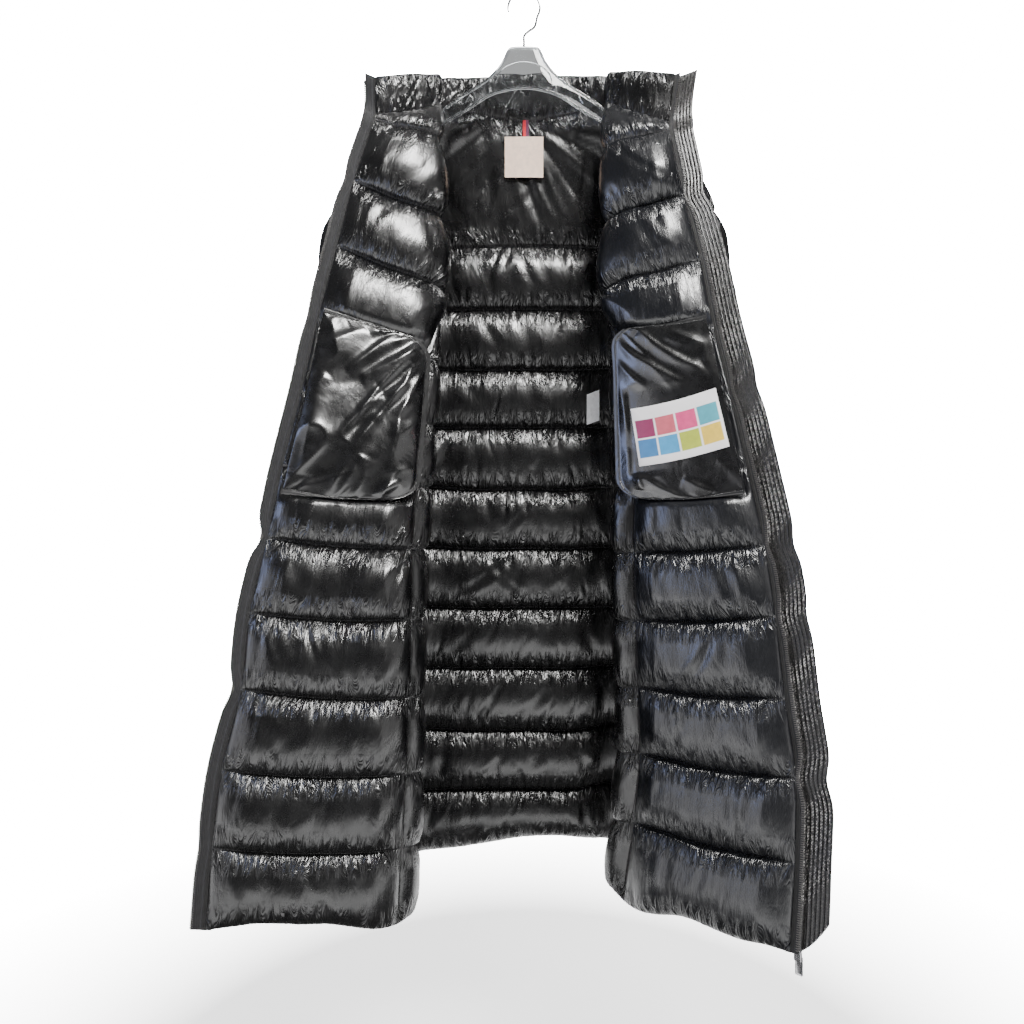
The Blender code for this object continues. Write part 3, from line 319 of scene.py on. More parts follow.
# Long soft creases of the yoke, in metres across from the right seam and down from the neck:
# from, to, half width, and height (negative for a trough).
Crease = namedtuple("Crease", "across down to_across to_down half_width height")
YOKE_CREASES = (
    Crease(0.222, 0.034, 0.262, 0.150, 0.0050, 0.0022),
    Crease(0.230, 0.026, 0.296, 0.140, 0.0045, -0.0024),
    Crease(0.238, 0.022, 0.330, 0.122, 0.0055, 0.0026),
    Crease(0.246, 0.016, 0.352, 0.092, 0.0045, -0.0022),
    Crease(0.250, 0.010, 0.386, 0.066, 0.0050, 0.0020),
    Crease(0.254, 0.006, 0.330, 0.030, 0.0040, 0.0022),
    Crease(0.206, 0.060, 0.226, 0.168, 0.0050, -0.0020),
    Crease(0.214, 0.070, 0.246, 0.158, 0.0040, 0.0018),
    Crease(0.190, 0.050, 0.150, 0.160, 0.0055, 0.0020),
    Crease(0.182, 0.040, 0.122, 0.146, 0.0045, -0.0022),
    Crease(0.176, 0.030, 0.094, 0.120, 0.0055, 0.0022),
    Crease(0.170, 0.020, 0.070, 0.088, 0.0045, -0.0020),
    Crease(0.166, 0.012, 0.096, 0.052, 0.0050, 0.0024),
    Crease(0.170, 0.006, 0.112, 0.026, 0.0040, 0.0022),
)
# Along the collar, the part of its full stand that it keeps.
COLLAR_LOW = ((0.0, 0.25, 0.38, 0.62, 0.75, 1.0), (0.90, 0.90, 1.0, 1.0, 0.92, 0.92))
COLLAR_EDGE_HALF = 0.0020
COLLAR_ROUND = (0.34, 0.50)
COLLAR_FORWARD = 0.013  # how much less it leans back than it would at rest on the hanger
TAPE_STEPS, PLACKET_STEPS = 400, 520  # steps along the two strips

# ---- strips, pockets, labels and hanger ----

# Quilting line and depth of each place where a strip's edge is drawn in.
RIGHT_NIPS = ((2, 0.0040), (4, 0.0026), (7, 0.0085), (9, 0.0060), (11, 0.0020))
LEFT_NIPS = ((2, 0.0060), (5, 0.0030), (7, 0.0044), (8, 0.0030), (10, 0.0060))
TAPE_HIDDEN = 0.0060  # sewn under the front's edge
TAPE_COLUMNS = (0.0, 0.08, 0.25, 0.45, 0.65, 0.80, 0.92, 1.0)  # parts of the way across what shows
TAPE_HALVES = (0.4, 0.7, 0.8, 0.7, 0.7, 0.7, 0.6, 0.6, 0.4)  # half thickness there, mm, hidden edge first
PLACKET_GROOVE, PLACKET_RIDGE = 0.0008, 0.0014
TOOTH_PITCH = 0.0024
TOOTH_HALF = 0.0013
# From the tape's free edge outwards, and half width along the zip.
TOOTH_PROFILE = ((-0.0026, 0.00045), (-0.0010, 0.00060), (0.0004, 0.00060), (0.0008, 0.00035))
FAN_FOCUS = (1.12, -0.16)  # in widths of the bag, from its top corner by the zip
BINDING = 0.0065  # width of the stitched binding round a bag
PATCH_PLACE = (0.0, 0.36, 0.86, 0.80)  # the printed patch on its bag: left, top, right, bottom
BINDING_RISE = 0.0007
POCKET_SMALL_FOLDS = 8
# Folds of each pocket bag, as parts of its width from the zip and of its height from the top.
# A fold's steep flank is on its left, looking along it.
LEFT_POCKET_FOLDS = (
    Crease(0.10, 0.30, 0.62, 0.06, 0.0045, 0.0030), Crease(0.30, 0.34, 0.86, 0.14, 0.0050, 0.0034),
    Crease(0.66, 0.36, 0.95, 0.22, 0.0040, 0.0026), Crease(0.04, 0.16, 0.34, 0.05, 0.0045, 0.0026),
    Crease(0.90, 0.62, 0.93, 0.36, 0.0040, 0.0024), Crease(0.16, 0.95, 0.50, 0.84, 0.0050, 0.0030),
    Crease(0.52, 0.96, 0.90, 0.83, 0.0055, 0.0032), Crease(0.90, 0.92, 0.94, 0.70, 0.0045, 0.0028),
)
RIGHT_POCKET_FOLDS = (
    Crease(0.30, 0.30, 0.66, 0.06, 0.0045, 0.0036), Crease(0.42, 0.33, 0.90, 0.13, 0.0050, 0.0040),
    Crease(0.46, 0.50, 0.93, 0.30, 0.0050, 0.0036), Crease(0.02, 0.22, 0.38, 0.06, 0.0060, 0.0034),
    Crease(0.50, 0.74, 0.62, 0.50, 0.0090, 0.0030), Crease(0.84, 0.80, 0.82, 0.54, 0.0050, 0.0028),
    Crease(0.44, 0.95, 0.60, 0.73, 0.0060, 0.0034), Crease(0.08, 0.94, 0.58, 0.80, 0.0060, 0.0030),
    Crease(0.02, 0.44, 0.14, 0.34, 0.0040, 0.0026), Crease(0.12, 0.86, 0.10, 0.46, 0.0060, 0.0026),
    Crease(0.74, 0.94, 0.93, 0.84, 0.0040, 0.0030), Crease(0.70, 0.52, 0.92, 0.42, 0.0045, 0.0022),
)
HANGER_ARCH = (0.040, 0.030, -0.1300)  # half width, height and foot of the arch moulded on its middle
HANGER_FACE = -0.0012
HANGER_RIBS = (
    ((-0.079, HANGER_FACE, -0.1490), (-0.085, HANGER_FACE, -0.1600)),
    ((0.079, HANGER_FACE, -0.1490), (0.085, HANGER_FACE, -0.1600)),
)
HANGER_RIB_RADIUS = 0.0009
HANGER_RIM_RADIUS, HANGER_RIM_INSET = 0.0024, 0.0026
HANGER_WEB_HALF, HANGER_BEVEL = 0.0007, 0.0004
PULL_CORNER = 0.0016
STITCH_LENGTH = 0.0032
PRINT_BLUR = 0.006  # soft edge of a printed block, as part of the patch
# the second lacquered nylon is the first one tinted blue as a painted reflection
DARK_ROUGHNESS, BLUE_ROUGHNESS = 0.27, 0.30  # of the two lacquered nylons
THREAD_TINT = (0.022, 0.022, 0.024)
# pale colour of the placket's stitch dots, painted as glints of light on the thread
PLACKET_THREAD_GLINT_TINT = (0.85, 0.83, 0.82)
POCKET_TINT = (0.0022, 0.0022, 0.0026)
TOOTH_TINT = (0.075, 0.072, 0.070)
PLATED_TINT = (0.62, 0.62, 0.64)
HOOK_TINT = (0.66, 0.66, 0.68)
CARE_TINT = (0.95, 0.96, 1.0)
LOOP_TINTS = ((0.62, 0.004, 0.018), (0.012, 0.014, 0.060))
PRINT_GROUND = (0.92, 0.90, 0.90)

# Blocks of colour on the printed patch: parts of its width and height, and the colour.
Block = namedtuple("Block", "left top right bottom colour")
PRINT_BLOCKS = (
    Block(0.03, 0.22, 0.25, 0.53, (0.08, 0.36, 0.44)),
    Block(0.27, 0.22, 0.49, 0.53, (0.70, 0.07, 0.22)),
    Block(0.51, 0.22, 0.73, 0.53, (0.62, 0.12, 0.16)),
    Block(0.75, 0.22, 0.97, 0.53, (0.26, 0.03, 0.10)),
    Block(0.03, 0.56, 0.25, 0.87, (0.80, 0.56, 0.08)),
    Block(0.27, 0.56, 0.49, 0.87, (0.44, 0.50, 0.06)),
    Block(0.51, 0.56, 0.73, 0.87, (0.06, 0.32, 0.60)),
    Block(0.75, 0.56, 0.97, 0.87, (0.05, 0.20, 0.44)),
)

# ---- camera, lights and stage ----

CAMERA_SENSOR = 36.0
CAMERA_LENS = 26.72
CAMERA_SHIFT = (-0.0117, 0.03125)
CAMERA_PLACE = (0.0, -1.10, -0.797)

# Soft lights: place, aim, size, power and colour.
Light = namedtuple("Light", "name place aim width height power tint")
LIGHTS = (
    Light("key", (1.40, -2.90, 3.25), (0.0, -0.1, -0.6), 2.0, 1.2, 520.0, (1.0, 0.99, 0.97)),
    Light("left_wall", (-2.7, -1.3, -0.5), (0.2, -0.1, -0.7), 2.2, 2.2, 24.0, (0.98, 0.97, 1.0)),
    Light("blue_side", (-2.1, -0.75, -0.15), (0.2, -0.1, -0.7), 0.45, 0.7, 5.5, (0.30, 0.45, 1.0)),
    Light("right_wall", (2.7, -1.6, -0.6), (-0.2, -0.1, -0.7), 2.4, 2.2, 14.0, (1.0, 0.99, 0.98)),
    Light("rear", (0.3, 1.9, 0.3), (0.0, 0.1, -0.7), 1.1, 0.5, 60.0, (1.0, 1.0, 1.0)),
)
FLOOR_HEIGHT = -1.62
FLOOR_RADIUS = 7.0
FLOOR_GLOW = 2.1
FLOOR_FADE = (0.6, 3.3)  # from its middle, where it starts and ends fading out
FLOOR_FRONT = (-1.05, -0.80)  # depths between which its parts run into each other
FLOOR_BEHIND = (-0.05, 0.15)
FLOOR_FAR = (-6.0, -1.3)  # over which the glow in front dies out with distance
BACKDROP = 60.0  # brightness of the surroundings to the eye
SEEN_THROUGH = 0.5  # how bright the surroundings look through the clear hanger
# Height in the surroundings, 0 to 1, and brightness there. The first two are the ends.
SKY = ((0.0, 0.45), (1.0, 0.30), (0.49, 0.24), (0.60, 0.10), (0.80, 0.08))


# ---- smooth curves and the coat's plan sections ----


def smooth_through(knots, points, at):
    """Points of a smooth curve through the given points, at the given knot values."""
    knots = np.asarray(knots, float)
    points = np.asarray(points, float)
    at = np.clip(np.asarray(at, float), knots[0], knots[-1])
    step = np.diff(knots)[:, None]
    slope = np.diff(points, axis=0) / step
    tangent = np.empty_like(points)
    tangent[0], tangent[-1] = slope[0], slope[-1]
    tangent[1:-1] = (slope[:-1] * step[1:] + slope[1:] * step[:-1]) / (step[:-1] + step[1:])
    span = np.clip(np.searchsorted(knots, at, side="right") - 1, 0, len(knots) - 2)
    h = step[span]
    t = ((at - knots[span])[:, None]) / h
    return (
        (2 * t**3 - 3 * t**2 + 1) * points[span]
        + (t**3 - 2 * t**2 + t) * h * tangent[span]
        + (3 * t**2 - 2 * t**3) * points[span + 1]
        + (t**3 - t**2) * h * tangent[span + 1]
    )


def length_along(points):
    steps = np.linalg.norm(np.diff(points, axis=0), axis=1)
    return np.concatenate([[0.0], np.cumsum(steps)])


def knot_tables(front_rows, hidden_rows, side):
    """For each knot of a section, its positions at all the quilting lines."""
    lines = np.arange(LINES + 1)
    front = np.array(front_rows)
    hidden_lines = [row.line for row in hidden_rows]
    hidden = smooth_through(hidden_lines, [row[1:] for row in hidden_rows], lines)
    back = np.array(BACK)
    tables = {ZIP: front[:, 0:3], FACE: front[:, 3:6], FOLD: front[:, 6:9]}
    tables[BOW] = 0.5 * (tables[ZIP] + tables[FACE]) + np.array([0.0, -0.004, -0.004])
    turn_z = 0.6 * tables[FOLD][:, 2] + 0.4 * hidden[:, 4]
    tables[TURN] = np.column_stack([hidden[:, 0:2], turn_z])
    tables[UNDER] = hidden[:, 2:5]
    tables[SEAM] = hidden[:, 5:8]
    tables[OUTER] = hidden[:, 8:11]
    tables[QUARTER] = back[:, 2:5].copy()
    tables[QUARTER][-1, 2] += HEM_SLOPE * side * tables[QUARTER][-1, 0]
    tables[MIDDLE] = np.column_stack([np.zeros(LINES + 1), back[:, 0:2]])
    for table in tables.values():
        table[:, 0] *= side
    return [tables[knot] for knot in range(len(SECTION_KNOTS))]


class BodySide:
    """One half of the body: a fine grid of its mid surface, by quilting line and section knot."""

    def __init__(self, tables):
        lines = np.arange(LINES + 1)
        self.rows = np.linspace(0, LINES, GRID_PER_LINE * LINES + 1)
        through = np.array([smooth_through(lines, table, self.rows) for table in tables])
        knots = np.linspace(0, len(tables) - 1, GRID_PER_KNOT * (len(tables) - 1) + 1)
        grid = []
        for row in range(len(self.rows)):
            run = length_along(through[:, row])
            at = np.interp(knots, np.arange(len(run)), run)
            grid.append(smooth_through(run, through[:, row], at))
        self.points = np.array(grid)
        self.normals = surface_normals(self.points)

    def row_at(self, line):
        """Section polyline and its normals at one height."""
        at = min(line * GRID_PER_LINE, len(self.rows) - 1.0)
        low = min(int(at), len(self.rows) - 2)
        part = at - low
        points = self.points[low] * (1 - part) + self.points[low + 1] * part
        normals = self.normals[low] * (1 - part) + self.normals[low + 1] * part
        return points, normals

    def place(self, line, knot):
        """One point of the section and its normal, at a line and a knot value."""
        points, normals = self.row_at(line)
        at = np.arange(len(points)) / GRID_PER_KNOT
        pick = [np.interp(knot, at, source[:, axis]) for source in (points, normals) for axis in range(3)]
        return np.array(pick[:3]), np.array(pick[3:])

    def between(self, line, first, last, fractions, gap=0.0):
        """Points and normals at fractions of the way between two knot values."""
        points, normals = self.row_at(line)
        run = length_along(points)
        start, end = np.interp([first, last], np.arange(len(points)) / GRID_PER_KNOT, run)
        at = start + gap + np.asarray(fractions) * (end - start - 2 * gap)
        found = [np.interp(at, run, source[:, axis]) for source in (points, normals) for axis in range(3)]
        return np.stack(found[:3], axis=1), np.stack(found[3:], axis=1)


def surface_normals(middle, closed=False):
    down = np.gradient(middle, axis=0)
    if closed:
        across = np.roll(middle, -1, axis=1) - np.roll(middle, 1, axis=1)
    else:
        across = np.gradient(middle, axis=1)
    normal = np.cross(across, down)
    return normal / np.maximum(np.linalg.norm(normal, axis=2, keepdims=True), 1e-12)


def front_seam_knot(row):
    """Where the front is sewn to the side panel: the armhole, then round the fold, then the face."""
    return float(np.interp(row, (0.0, UNDERARM_LINE, 3.5, 4.0), (UNDER, UNDER, FOLD, FACE)))


def sleeve_ring(ring, sign, count):
    """One tilted oval of the sleeve, from its outer point round the front."""
    tilt = radians(ring.tilt)
    outward = np.array([cos(tilt) * sign, 0.0, sin(tilt)])
    inner = np.array([ring.inner_x * sign, ring.middle_y, ring.inner_z])
    centre = inner + ring.half_width * outward
    turn = 2 * pi * np.arange(count) / count
    across = ring.half_width * np.cos(turn)[:, None] * outward
    depth = ring.half_depth * np.sin(turn)[:, None] * np.array([0.0, -1.0, 0.0])
    return centre + across + depth


def zip_edge(side, collar_end, count):
    """The free edge of a front from the hem up to the collar's top, with its outward direction."""
    rows = np.linspace(LINES, 1.0, 34)
    edge = [side.place(row, ZIP)[0] for row in rows]
    edge = np.array(edge + list(collar_end))
    outward = []
    for row in np.append(rows, [1.0, 1.0]):
        near, far = (side.place(max(row, EDGE_TOP_LINE), knot)[0] for knot in (ZIP, ZIP + 0.3))
        outward.append((near - far) / np.linalg.norm(near - far))
    outward = np.array(outward)
    run = length_along(edge)
    at = np.linspace(0.0, run[-1], count)
    return smooth_through(run, edge, at), smooth_through(run, outward, at)


def strip_along(edge, outward, steps, depth):
    """Mid surface of a strip beside an edge: rows along it, columns at the given widths."""
    normal = np.cross(outward, np.gradient(edge, axis=0))
    normal /= np.linalg.norm(normal, axis=1, keepdims=True)
    normal *= np.sign(normal[:, 1:2])  # towards the coat's outer face, at +Y here
    widths = np.asarray(steps)[None, :, None]
    return edge[:, None] + outward[:, None] * widths + normal[:, None] * np.atleast_1d(depth)[None, :, None]


def over_front(side, line, across, lift):
    """A point over the visible side of a front, a lift above its fullest part.

    across runs from the zip (0) to the fold (1).
    """
    spread = np.clip(across + np.array([0.0, -0.2, -0.1, 0.1, 0.2]), 0.0, 1.0)
    points, normals = side.between(line, ZIP, FOLD, spread)
    direction = normals.mean(axis=0)
    direction /= np.linalg.norm(direction)
    direction *= -np.sign(direction[1])
    return points[0] + direction * (BODY_PUFF + SEAM_HALF + lift)


# ---- relief of padded cloth ----


class Cloth:
    """The mid surface of one panel, with its arc lengths and its quilting rows."""

    def __init__(self, middle, normal, rows, lines, closed=False):
        self.middle, self.normal, self.rows, self.lines, self.closed = middle, normal, rows, lines, closed
        step = np.linalg.norm(np.diff(middle, axis=1), axis=2)
        self.across = np.concatenate([np.zeros((len(middle), 1)), np.cumsum(step, axis=1)], axis=1)
        step = np.linalg.norm(np.diff(middle, axis=0), axis=2)
        self.down = np.concatenate([np.zeros((1, middle.shape[1])), np.cumsum(step, axis=0)], axis=0)
        self.width = self.across[:, -1]
        if closed:
            self.width = self.width + np.linalg.norm(middle[:, -1] - middle[:, 0], axis=1)
        at = np.searchsorted(rows, np.asarray(lines) - 1e-6)
        self.spans = list(zip(at[:-1], at[1:]))

    def above_and_below(self, span):
        top, bottom = span
        part = slice(top, bottom + 1)
        return part, self.down[part] - self.down[top], self.down[bottom] - self.down[part]


def fine_rows(lines, pitch, height):
    """Row positions with the quilting lines among them, closer together near the stitching."""
    rows = []
    for top, bottom in zip(lines[:-1], lines[1:]):
        count = max(6, int(round(height * (bottom - top) / pitch)))
        part = np.arange(count) / count
        part = part - STITCH_CROWDING * np.sin(2 * pi * part) / (2 * pi)
        rows += list(top + (bottom - top) * part)
    return np.array(rows + [lines[-1]])


def soft_noise(rng, across, down, scale, wrap=64):
    """Smooth noise between -1 and 1 with the given grain, over two coordinates in metres."""
    lattice = rng.uniform(-1.0, 1.0, (wrap, wrap))
    u, v = across / scale, down / scale
    i, j = np.floor(u).astype(int), np.floor(v).astype(int)
    f, g = u - i, v - j
    f, g = f * f * (3 - 2 * f), g * g * (3 - 2 * g)
    a, b = lattice[j % wrap, i % wrap], lattice[j % wrap, (i + 1) % wrap]
    c, d = lattice[(j + 1) % wrap, i % wrap], lattice[(j + 1) % wrap, (i + 1) % wrap]
    return (a * (1 - f) + b * f) * (1 - g) + (c * (1 - f) + d * f) * g


def valley(offset, width):
    """A sharp trough with a lifted lip beside it."""
    u = offset / width
    lip, far_lip = (size * np.exp(-((u - at) ** 2)) for at, size in VALLEY_LIPS)
    return -np.exp(-(u**2)) + lip + far_lip


def gather_relief(cloth, rng, gather):
    """Puckers that start at each stitch line and die out into the channel."""
    relief = np.zeros(cloth.across.shape)
    for span in cloth.spans:
        part, above, below = cloth.above_and_below(span)
        field = np.zeros(above.shape)
        across = cloth.across[part]
        ends = ((above, below, span[0], 1.0), (below, above, span[1], LOWER_GATHERS))
        for near, far, row, strength in ends:
            width = cloth.width[row]
            height = float(near.max())
            place = gather.pitch * rng.uniform(0.2, 1.0)
            while place < width:
                depth = gather.depth * strength * rng.gamma(*DEPTH_SPREAD)
                reach = min(gather.reach * rng.gamma(*REACH_SPREAD), 0.95 * height)
                half = gather.width * rng.uniform(0.6, 1.5)
                lean = rng.normal(0.0, gather.lean)
                bend = rng.normal(0.0, 3.0)
                turn = rng.choice((-1.0, 1.0))
                columns = np.flatnonzero(np.abs(across[0] - place) < reach * 1.1 + 5 * half)
                if len(columns) > 1:
                    low, high = columns[0], columns[-1] + 1
                    run = near[:, low:high]
                    whole = max(across[row - span[0], -1], 1e-6)
                    offset = across[:, low:high] - place * across[:, -1:] / whole
                    offset = (offset - lean * run - bend * run**2) * turn
                    grown = half * (0.65 + 0.9 * run / reach)
                    along = (1 - np.exp(-run / GATHER_GROWTH)) * np.clip(1 - run / reach, 0, 1) ** 0.8
                    along = along * (1 - np.exp(-far[:, low:high] / GATHER_END))
                    field[:, low:high] += depth * along * valley(offset, grown)
                place += gather.pitch * rng.uniform(0.45, 1.6)
        relief[part] += field
    return relief


def fold_relief(cloth, rng, fold):
    """Longer creases that cross a channel at a slant."""
    relief = np.zeros(cloth.across.shape)
    for span in cloth.spans:
        part, above, below = cloth.above_and_below(span)
        across = cloth.across[part]
        field = np.zeros(above.shape)
        height = np.maximum(above + below, 1e-4)
        width = float(cloth.width[span[0] : span[1]].mean())
        place = fold.each * rng.uniform(0.0, 1.0)
        while place < width:
            length = fold.share * rng.uniform(0.55, 1.25) * float(height.mean())
            start = rng.uniform(0.0, 1.0) * max(float(height.mean()) - length, 0.0)
            slant = rng.normal(0.0, fold.slant)
            bend = rng.normal(0.0, 4.0)
            depth = fold.depth * rng.gamma(*DEPTH_SPREAD)
            half = fold.width * rng.uniform(0.7, 1.5)
            turn = rng.choice((-1.0, 1.0))
            run = (above - start) / length
            offset = (across - place - slant * (above - start) - bend * (above - start) ** 2) * turn
            along = np.clip(np.sin(pi * np.clip(run, 0.0, 1.0)), 0, 1) ** 0.7
            taper = (1 - np.exp(-above / FOLD_END)) * (1 - np.exp(-below / FOLD_END))
            field += depth * along * taper * valley(offset, half * (0.7 + 0.5 * np.clip(run, 0, 1)))
            place += fold.each * rng.uniform(0.5, 1.6)
        relief[part] += field
    return relief


def channel_fill(cloth, rng, uneven, roundness):
    """0 on the stitch lines and about 1 in the channels' middles, uneven along each channel."""
    fill = np.zeros(cloth.across.shape)
    for span in cloth.spans:
        part, above, below = cloth.above_and_below(span)
        t = above / np.maximum(above + below, 1e-6)
        sag = t + FILL_SAG * np.sin(pi * t) * t
        power = roundness[0] + (roundness[1] - roundness[0]) * t
        shape = np.clip(np.sin(pi * np.clip(sag, 0, 1)), 0, 1) ** power
        height = np.minimum(1.0, (above + below) / FULL_CHANNEL)
        wave = soft_noise(rng, cloth.across[part] + 3.1 * span[0], above * 0.8, FILL_GRAINS[0])
        wave = 0.7 * wave + 0.3 * soft_noise(rng, cloth.across[part], above, FILL_GRAINS[1])
        fill[part] = shape * height * (1.0 + uneven * wave)
    return fill


def side_distance(cloth):
    return np.minimum(cloth.across, cloth.width[:, None] - cloth.across)


def end_distance(cloth):
    return np.minimum(cloth.down, cloth.down[-1] - cloth.down)


def edge_ramp(cloth):
    """How far the filling has grown at each column, away from the side seams."""
    if cloth.closed:
        return 1.0
    return np.minimum(1.0, np.maximum(side_distance(cloth), 0.0) / PUFF_RAMP) ** 0.55


def seam_fade(cloth):
    """0 at a panel's sewn edges and 1 inside it, so that creases end at the seams."""
    return 1.0 if cloth.closed else 1 - np.exp(-side_distance(cloth) / FOLD_END)


def padded_faces(cloth, seed, finish, press=None, swell=None):
    """The outer and inner face of a padded panel as two grids of points.

    press flattens each face and its creases; swell fills out the face that is seen from the front."""
    ramp = edge_ramp(cloth)
    faces = []
    for turn, side in enumerate((1.0, -1.0)):
        rng = np.random.default_rng(seed * 10 + turn)
        half = finish.puff * channel_fill(cloth, rng, finish.uneven, finish.roundness) * ramp
        relief = gather_relief(cloth, rng, finish.gather) + fold_relief(cloth, rng, finish.fold)
        if swell is not None and side * cloth.normal[..., 1].mean() < 0:
            half = half * swell
        if press is not None:
            half, relief = half * press[turn], relief * press[turn] ** 3
        offset = SEAM_HALF + half + relief * seam_fade(cloth)
        offset = np.maximum(offset, SEAM_HALF * 0.6)
        faces.append(cloth.middle + cloth.normal * (side * offset)[..., None])
    return faces


def stitch_distance(cloth):
    """Distance from each point to the nearest stitch line."""
    near = np.zeros(cloth.across.shape)
    for span in cloth.spans:
        part, above, below = cloth.above_and_below(span)
        near[part] = np.minimum(above, below)
    return near


def shell_mesh(name, faces, cloth, mat, smooth_angle=70, near=None):
    """A closed wall between two grids of points, with the cloth's own measures on its points."""
    rows, columns = faces[0].shape[:2]
    layer = rows * columns
    index = np.arange(layer).reshape(rows, columns)
    right = np.roll(index, -1, axis=1)
    if not cloth.closed:
        index_a, right_a = index[:, :-1], right[:, :-1]
    else:
        index_a, right_a = index, right
    quads = np.stack([index_a[:-1], right_a[:-1], right_a[1:], index_a[1:]], axis=-1).reshape(-1, 4)
    back = quads[:, ::-1] + layer
    rims = [np.stack([index_a[0], right_a[0]], axis=-1), np.stack([right_a[-1], index_a[-1]], axis=-1)]
    if not cloth.closed:
        rims.append(np.stack([index[1:, 0], index[:-1, 0]], axis=-1))
        rims.append(np.stack([index[:-1, -1], index[1:, -1]], axis=-1))
    rim = np.concatenate(rims)
    rim = np.column_stack([rim[:, 1], rim[:, 0], rim[:, 0] + layer, rim[:, 1] + layer])
    polygons = np.concatenate([quads, back, rim])
    points = np.concatenate([faces[0].reshape(-1, 3), faces[1].reshape(-1, 3)])
    mesh = bpy.data.meshes.new(name)
    mesh.vertices.add(len(points))
    mesh.vertices.foreach_set("co", points.astype(np.float32).ravel())
    mesh.loops.add(polygons.size)
    mesh.loops.foreach_set("vertex_index", polygons.astype(np.int32).ravel())
    mesh.polygons.add(len(polygons))
    mesh.polygons.foreach_set("loop_start", np.arange(0, polygons.size, 4, dtype=np.int32))
    mesh.update(calc_edges=True)
    mesh.validate()
    near_given = near is not None
    near = near if near_given else stitch_distance(cloth)
    measures = np.stack([cloth.across, cloth.down, near], axis=-1).reshape(-1, 3)
    quilt = mesh.attributes.new("quilt", "FLOAT_VECTOR", "POINT")
    quilt.data.foreach_set("vector", np.concatenate([measures, measures]).astype(np.float32).ravel())
    obj = finished(name, mesh, mat, smooth_angle)
    if near_given:
        return obj
    ends = np.empty(len(mesh.edges) * 2, np.int32)
    mesh.edges.foreach_get("vertices", ends)
    row = ends.reshape(-1, 2) % layer // columns
    sharp = np.empty(len(mesh.edges), bool)
    mesh.edges.foreach_get("use_edge_sharp", sharp)
    seams = [top for top, _ in cloth.spans] + [cloth.spans[-1][1]]
    sharp |= (row[:, 0] == row[:, 1]) & np.isin(row[:, 0], seams)
    mesh.edges.foreach_set("use_edge_sharp", sharp)
    return obj


def finished(name, mesh, mat, smooth_angle=40, body="coat"):
    """An object from a mesh, faces turned outward, shaded smooth, riding on its body."""
    shape = bmesh.new()
    shape.from_mesh(mesh)
    bmesh.ops.recalc_face_normals(shape, faces=shape.faces)
    shape.to_mesh(mesh)
    shape.free()
    mesh.materials.clear()
    mesh.materials.append(mat)
    mesh.shade_smooth()
    if smooth_angle < 180:
        mesh.set_sharp_from_angle(angle=radians(smooth_angle))
    obj = bpy.data.objects.new(name, mesh)
    bpy.context.scene.collection.objects.link(obj)
    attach(obj, body)
    return obj


# ---- the quilted panels ----


def panel(side, rows, first, last, count):
    """Mid surface and normals of a panel between two seams of the plan section."""
    fractions = np.linspace(0.0, 1.0, count)
    made = [side.between(row, first(row), last(row), fractions, -SEAM_LAP) for row in rows]
    return np.array([points for points, _ in made]), np.array([normals for _, normals in made])


def pocket_press(side, rows, count, bag):
    """Where a pocket bag lies on a front: 1 away from it, less under it. Outer face first."""
    across = np.zeros((len(rows), count))
    for index, row in enumerate(rows):
        points, _ = side.between(row, ZIP, front_seam_knot(row), np.linspace(0, 1, count))
        run = length_along(points)
        face, _ = side.between(row, ZIP, FOLD, np.linspace(0, 1, 40))
        across[index] = run / max(length_along(face)[-1], 1e-6)
    line = np.asarray(rows)[:, None]
    top = bag.top_zip + (bag.top_fold - bag.top_zip) * across
    low = bag.low_zip + (bag.low_fold - bag.low_zip) * across
    inside = np.clip((line - top) / 0.10 + 0.6, 0, 1) * np.clip((low - line) / 0.10 + 0.6, 0, 1)
    inside = inside * np.clip((bag.far_side - across) / 0.05 + 0.6, 0, 1) * np.clip(across / 0.04, 0, 1)
    return 1.0 - POCKET_PRESS * inside


def make_front(name, side, seed, bag, visible, mat, pitch):
    lines = np.arange(LINES + 1)
    rows = fine_rows(lines, pitch * ROW_PITCH, CHANNEL_HEIGHT)
    count = int(FRONT_CUT / pitch)
    middle, normal = panel(side, rows, lambda row: ZIP, front_seam_knot, count)
    middle[..., 2] += hem_lift(rows, count, FRONT_HEMS[visible > 0])
    cloth = Cloth(middle, normal, rows, lines)
    sizes = bpy.context.scene.coat_sizes
    puff = BODY_PUFF * np.interp(rows, *FRONT_FILL)[:, None]
    finish = Finish(
        puff,
        sizes.unevenness,
        Gather(0.0085, sizes.gather_depth, 0.018, 0.0030, 0.22),
        Fold(0.036, sizes.fold_depth, 0.95, 0.0085, 0.20),
        LEFT_ROUND if visible > 0 else FILL_ROUND,
    )
    press = pocket_press(side, rows, count, bag)
    plain = np.ones_like(press)
    pressed = (press, plain) if visible > 0 else (plain, press)
    swell = np.interp(rows, *FRONT_SWELLS[visible > 0])[:, None]
    if visible > 0:
        wedge = np.interp(np.linspace(0, 1, count), *LEFT_WEDGE)
        swell = swell * (1 + (wedge - 1) * np.clip(3.0 - rows, 0.0, 1.0)[:, None])
    return shell_mesh(name, padded_faces(cloth, seed, finish, press=pressed, swell=swell), cloth, mat)


def hem_lift(rows, count, lifts):
    """How far a panel's last channel is drawn up, at even steps across it."""
    part = np.linspace(0.0, 1.0, count)
    lift = smooth_through(np.linspace(0.0, 1.0, len(lifts)), np.array(lifts)[:, None], part)[:, 0]
    return lift[None, :] * np.clip(rows - LINES + 1.0, 0.0, 1.0)[:, None] ** 1.5


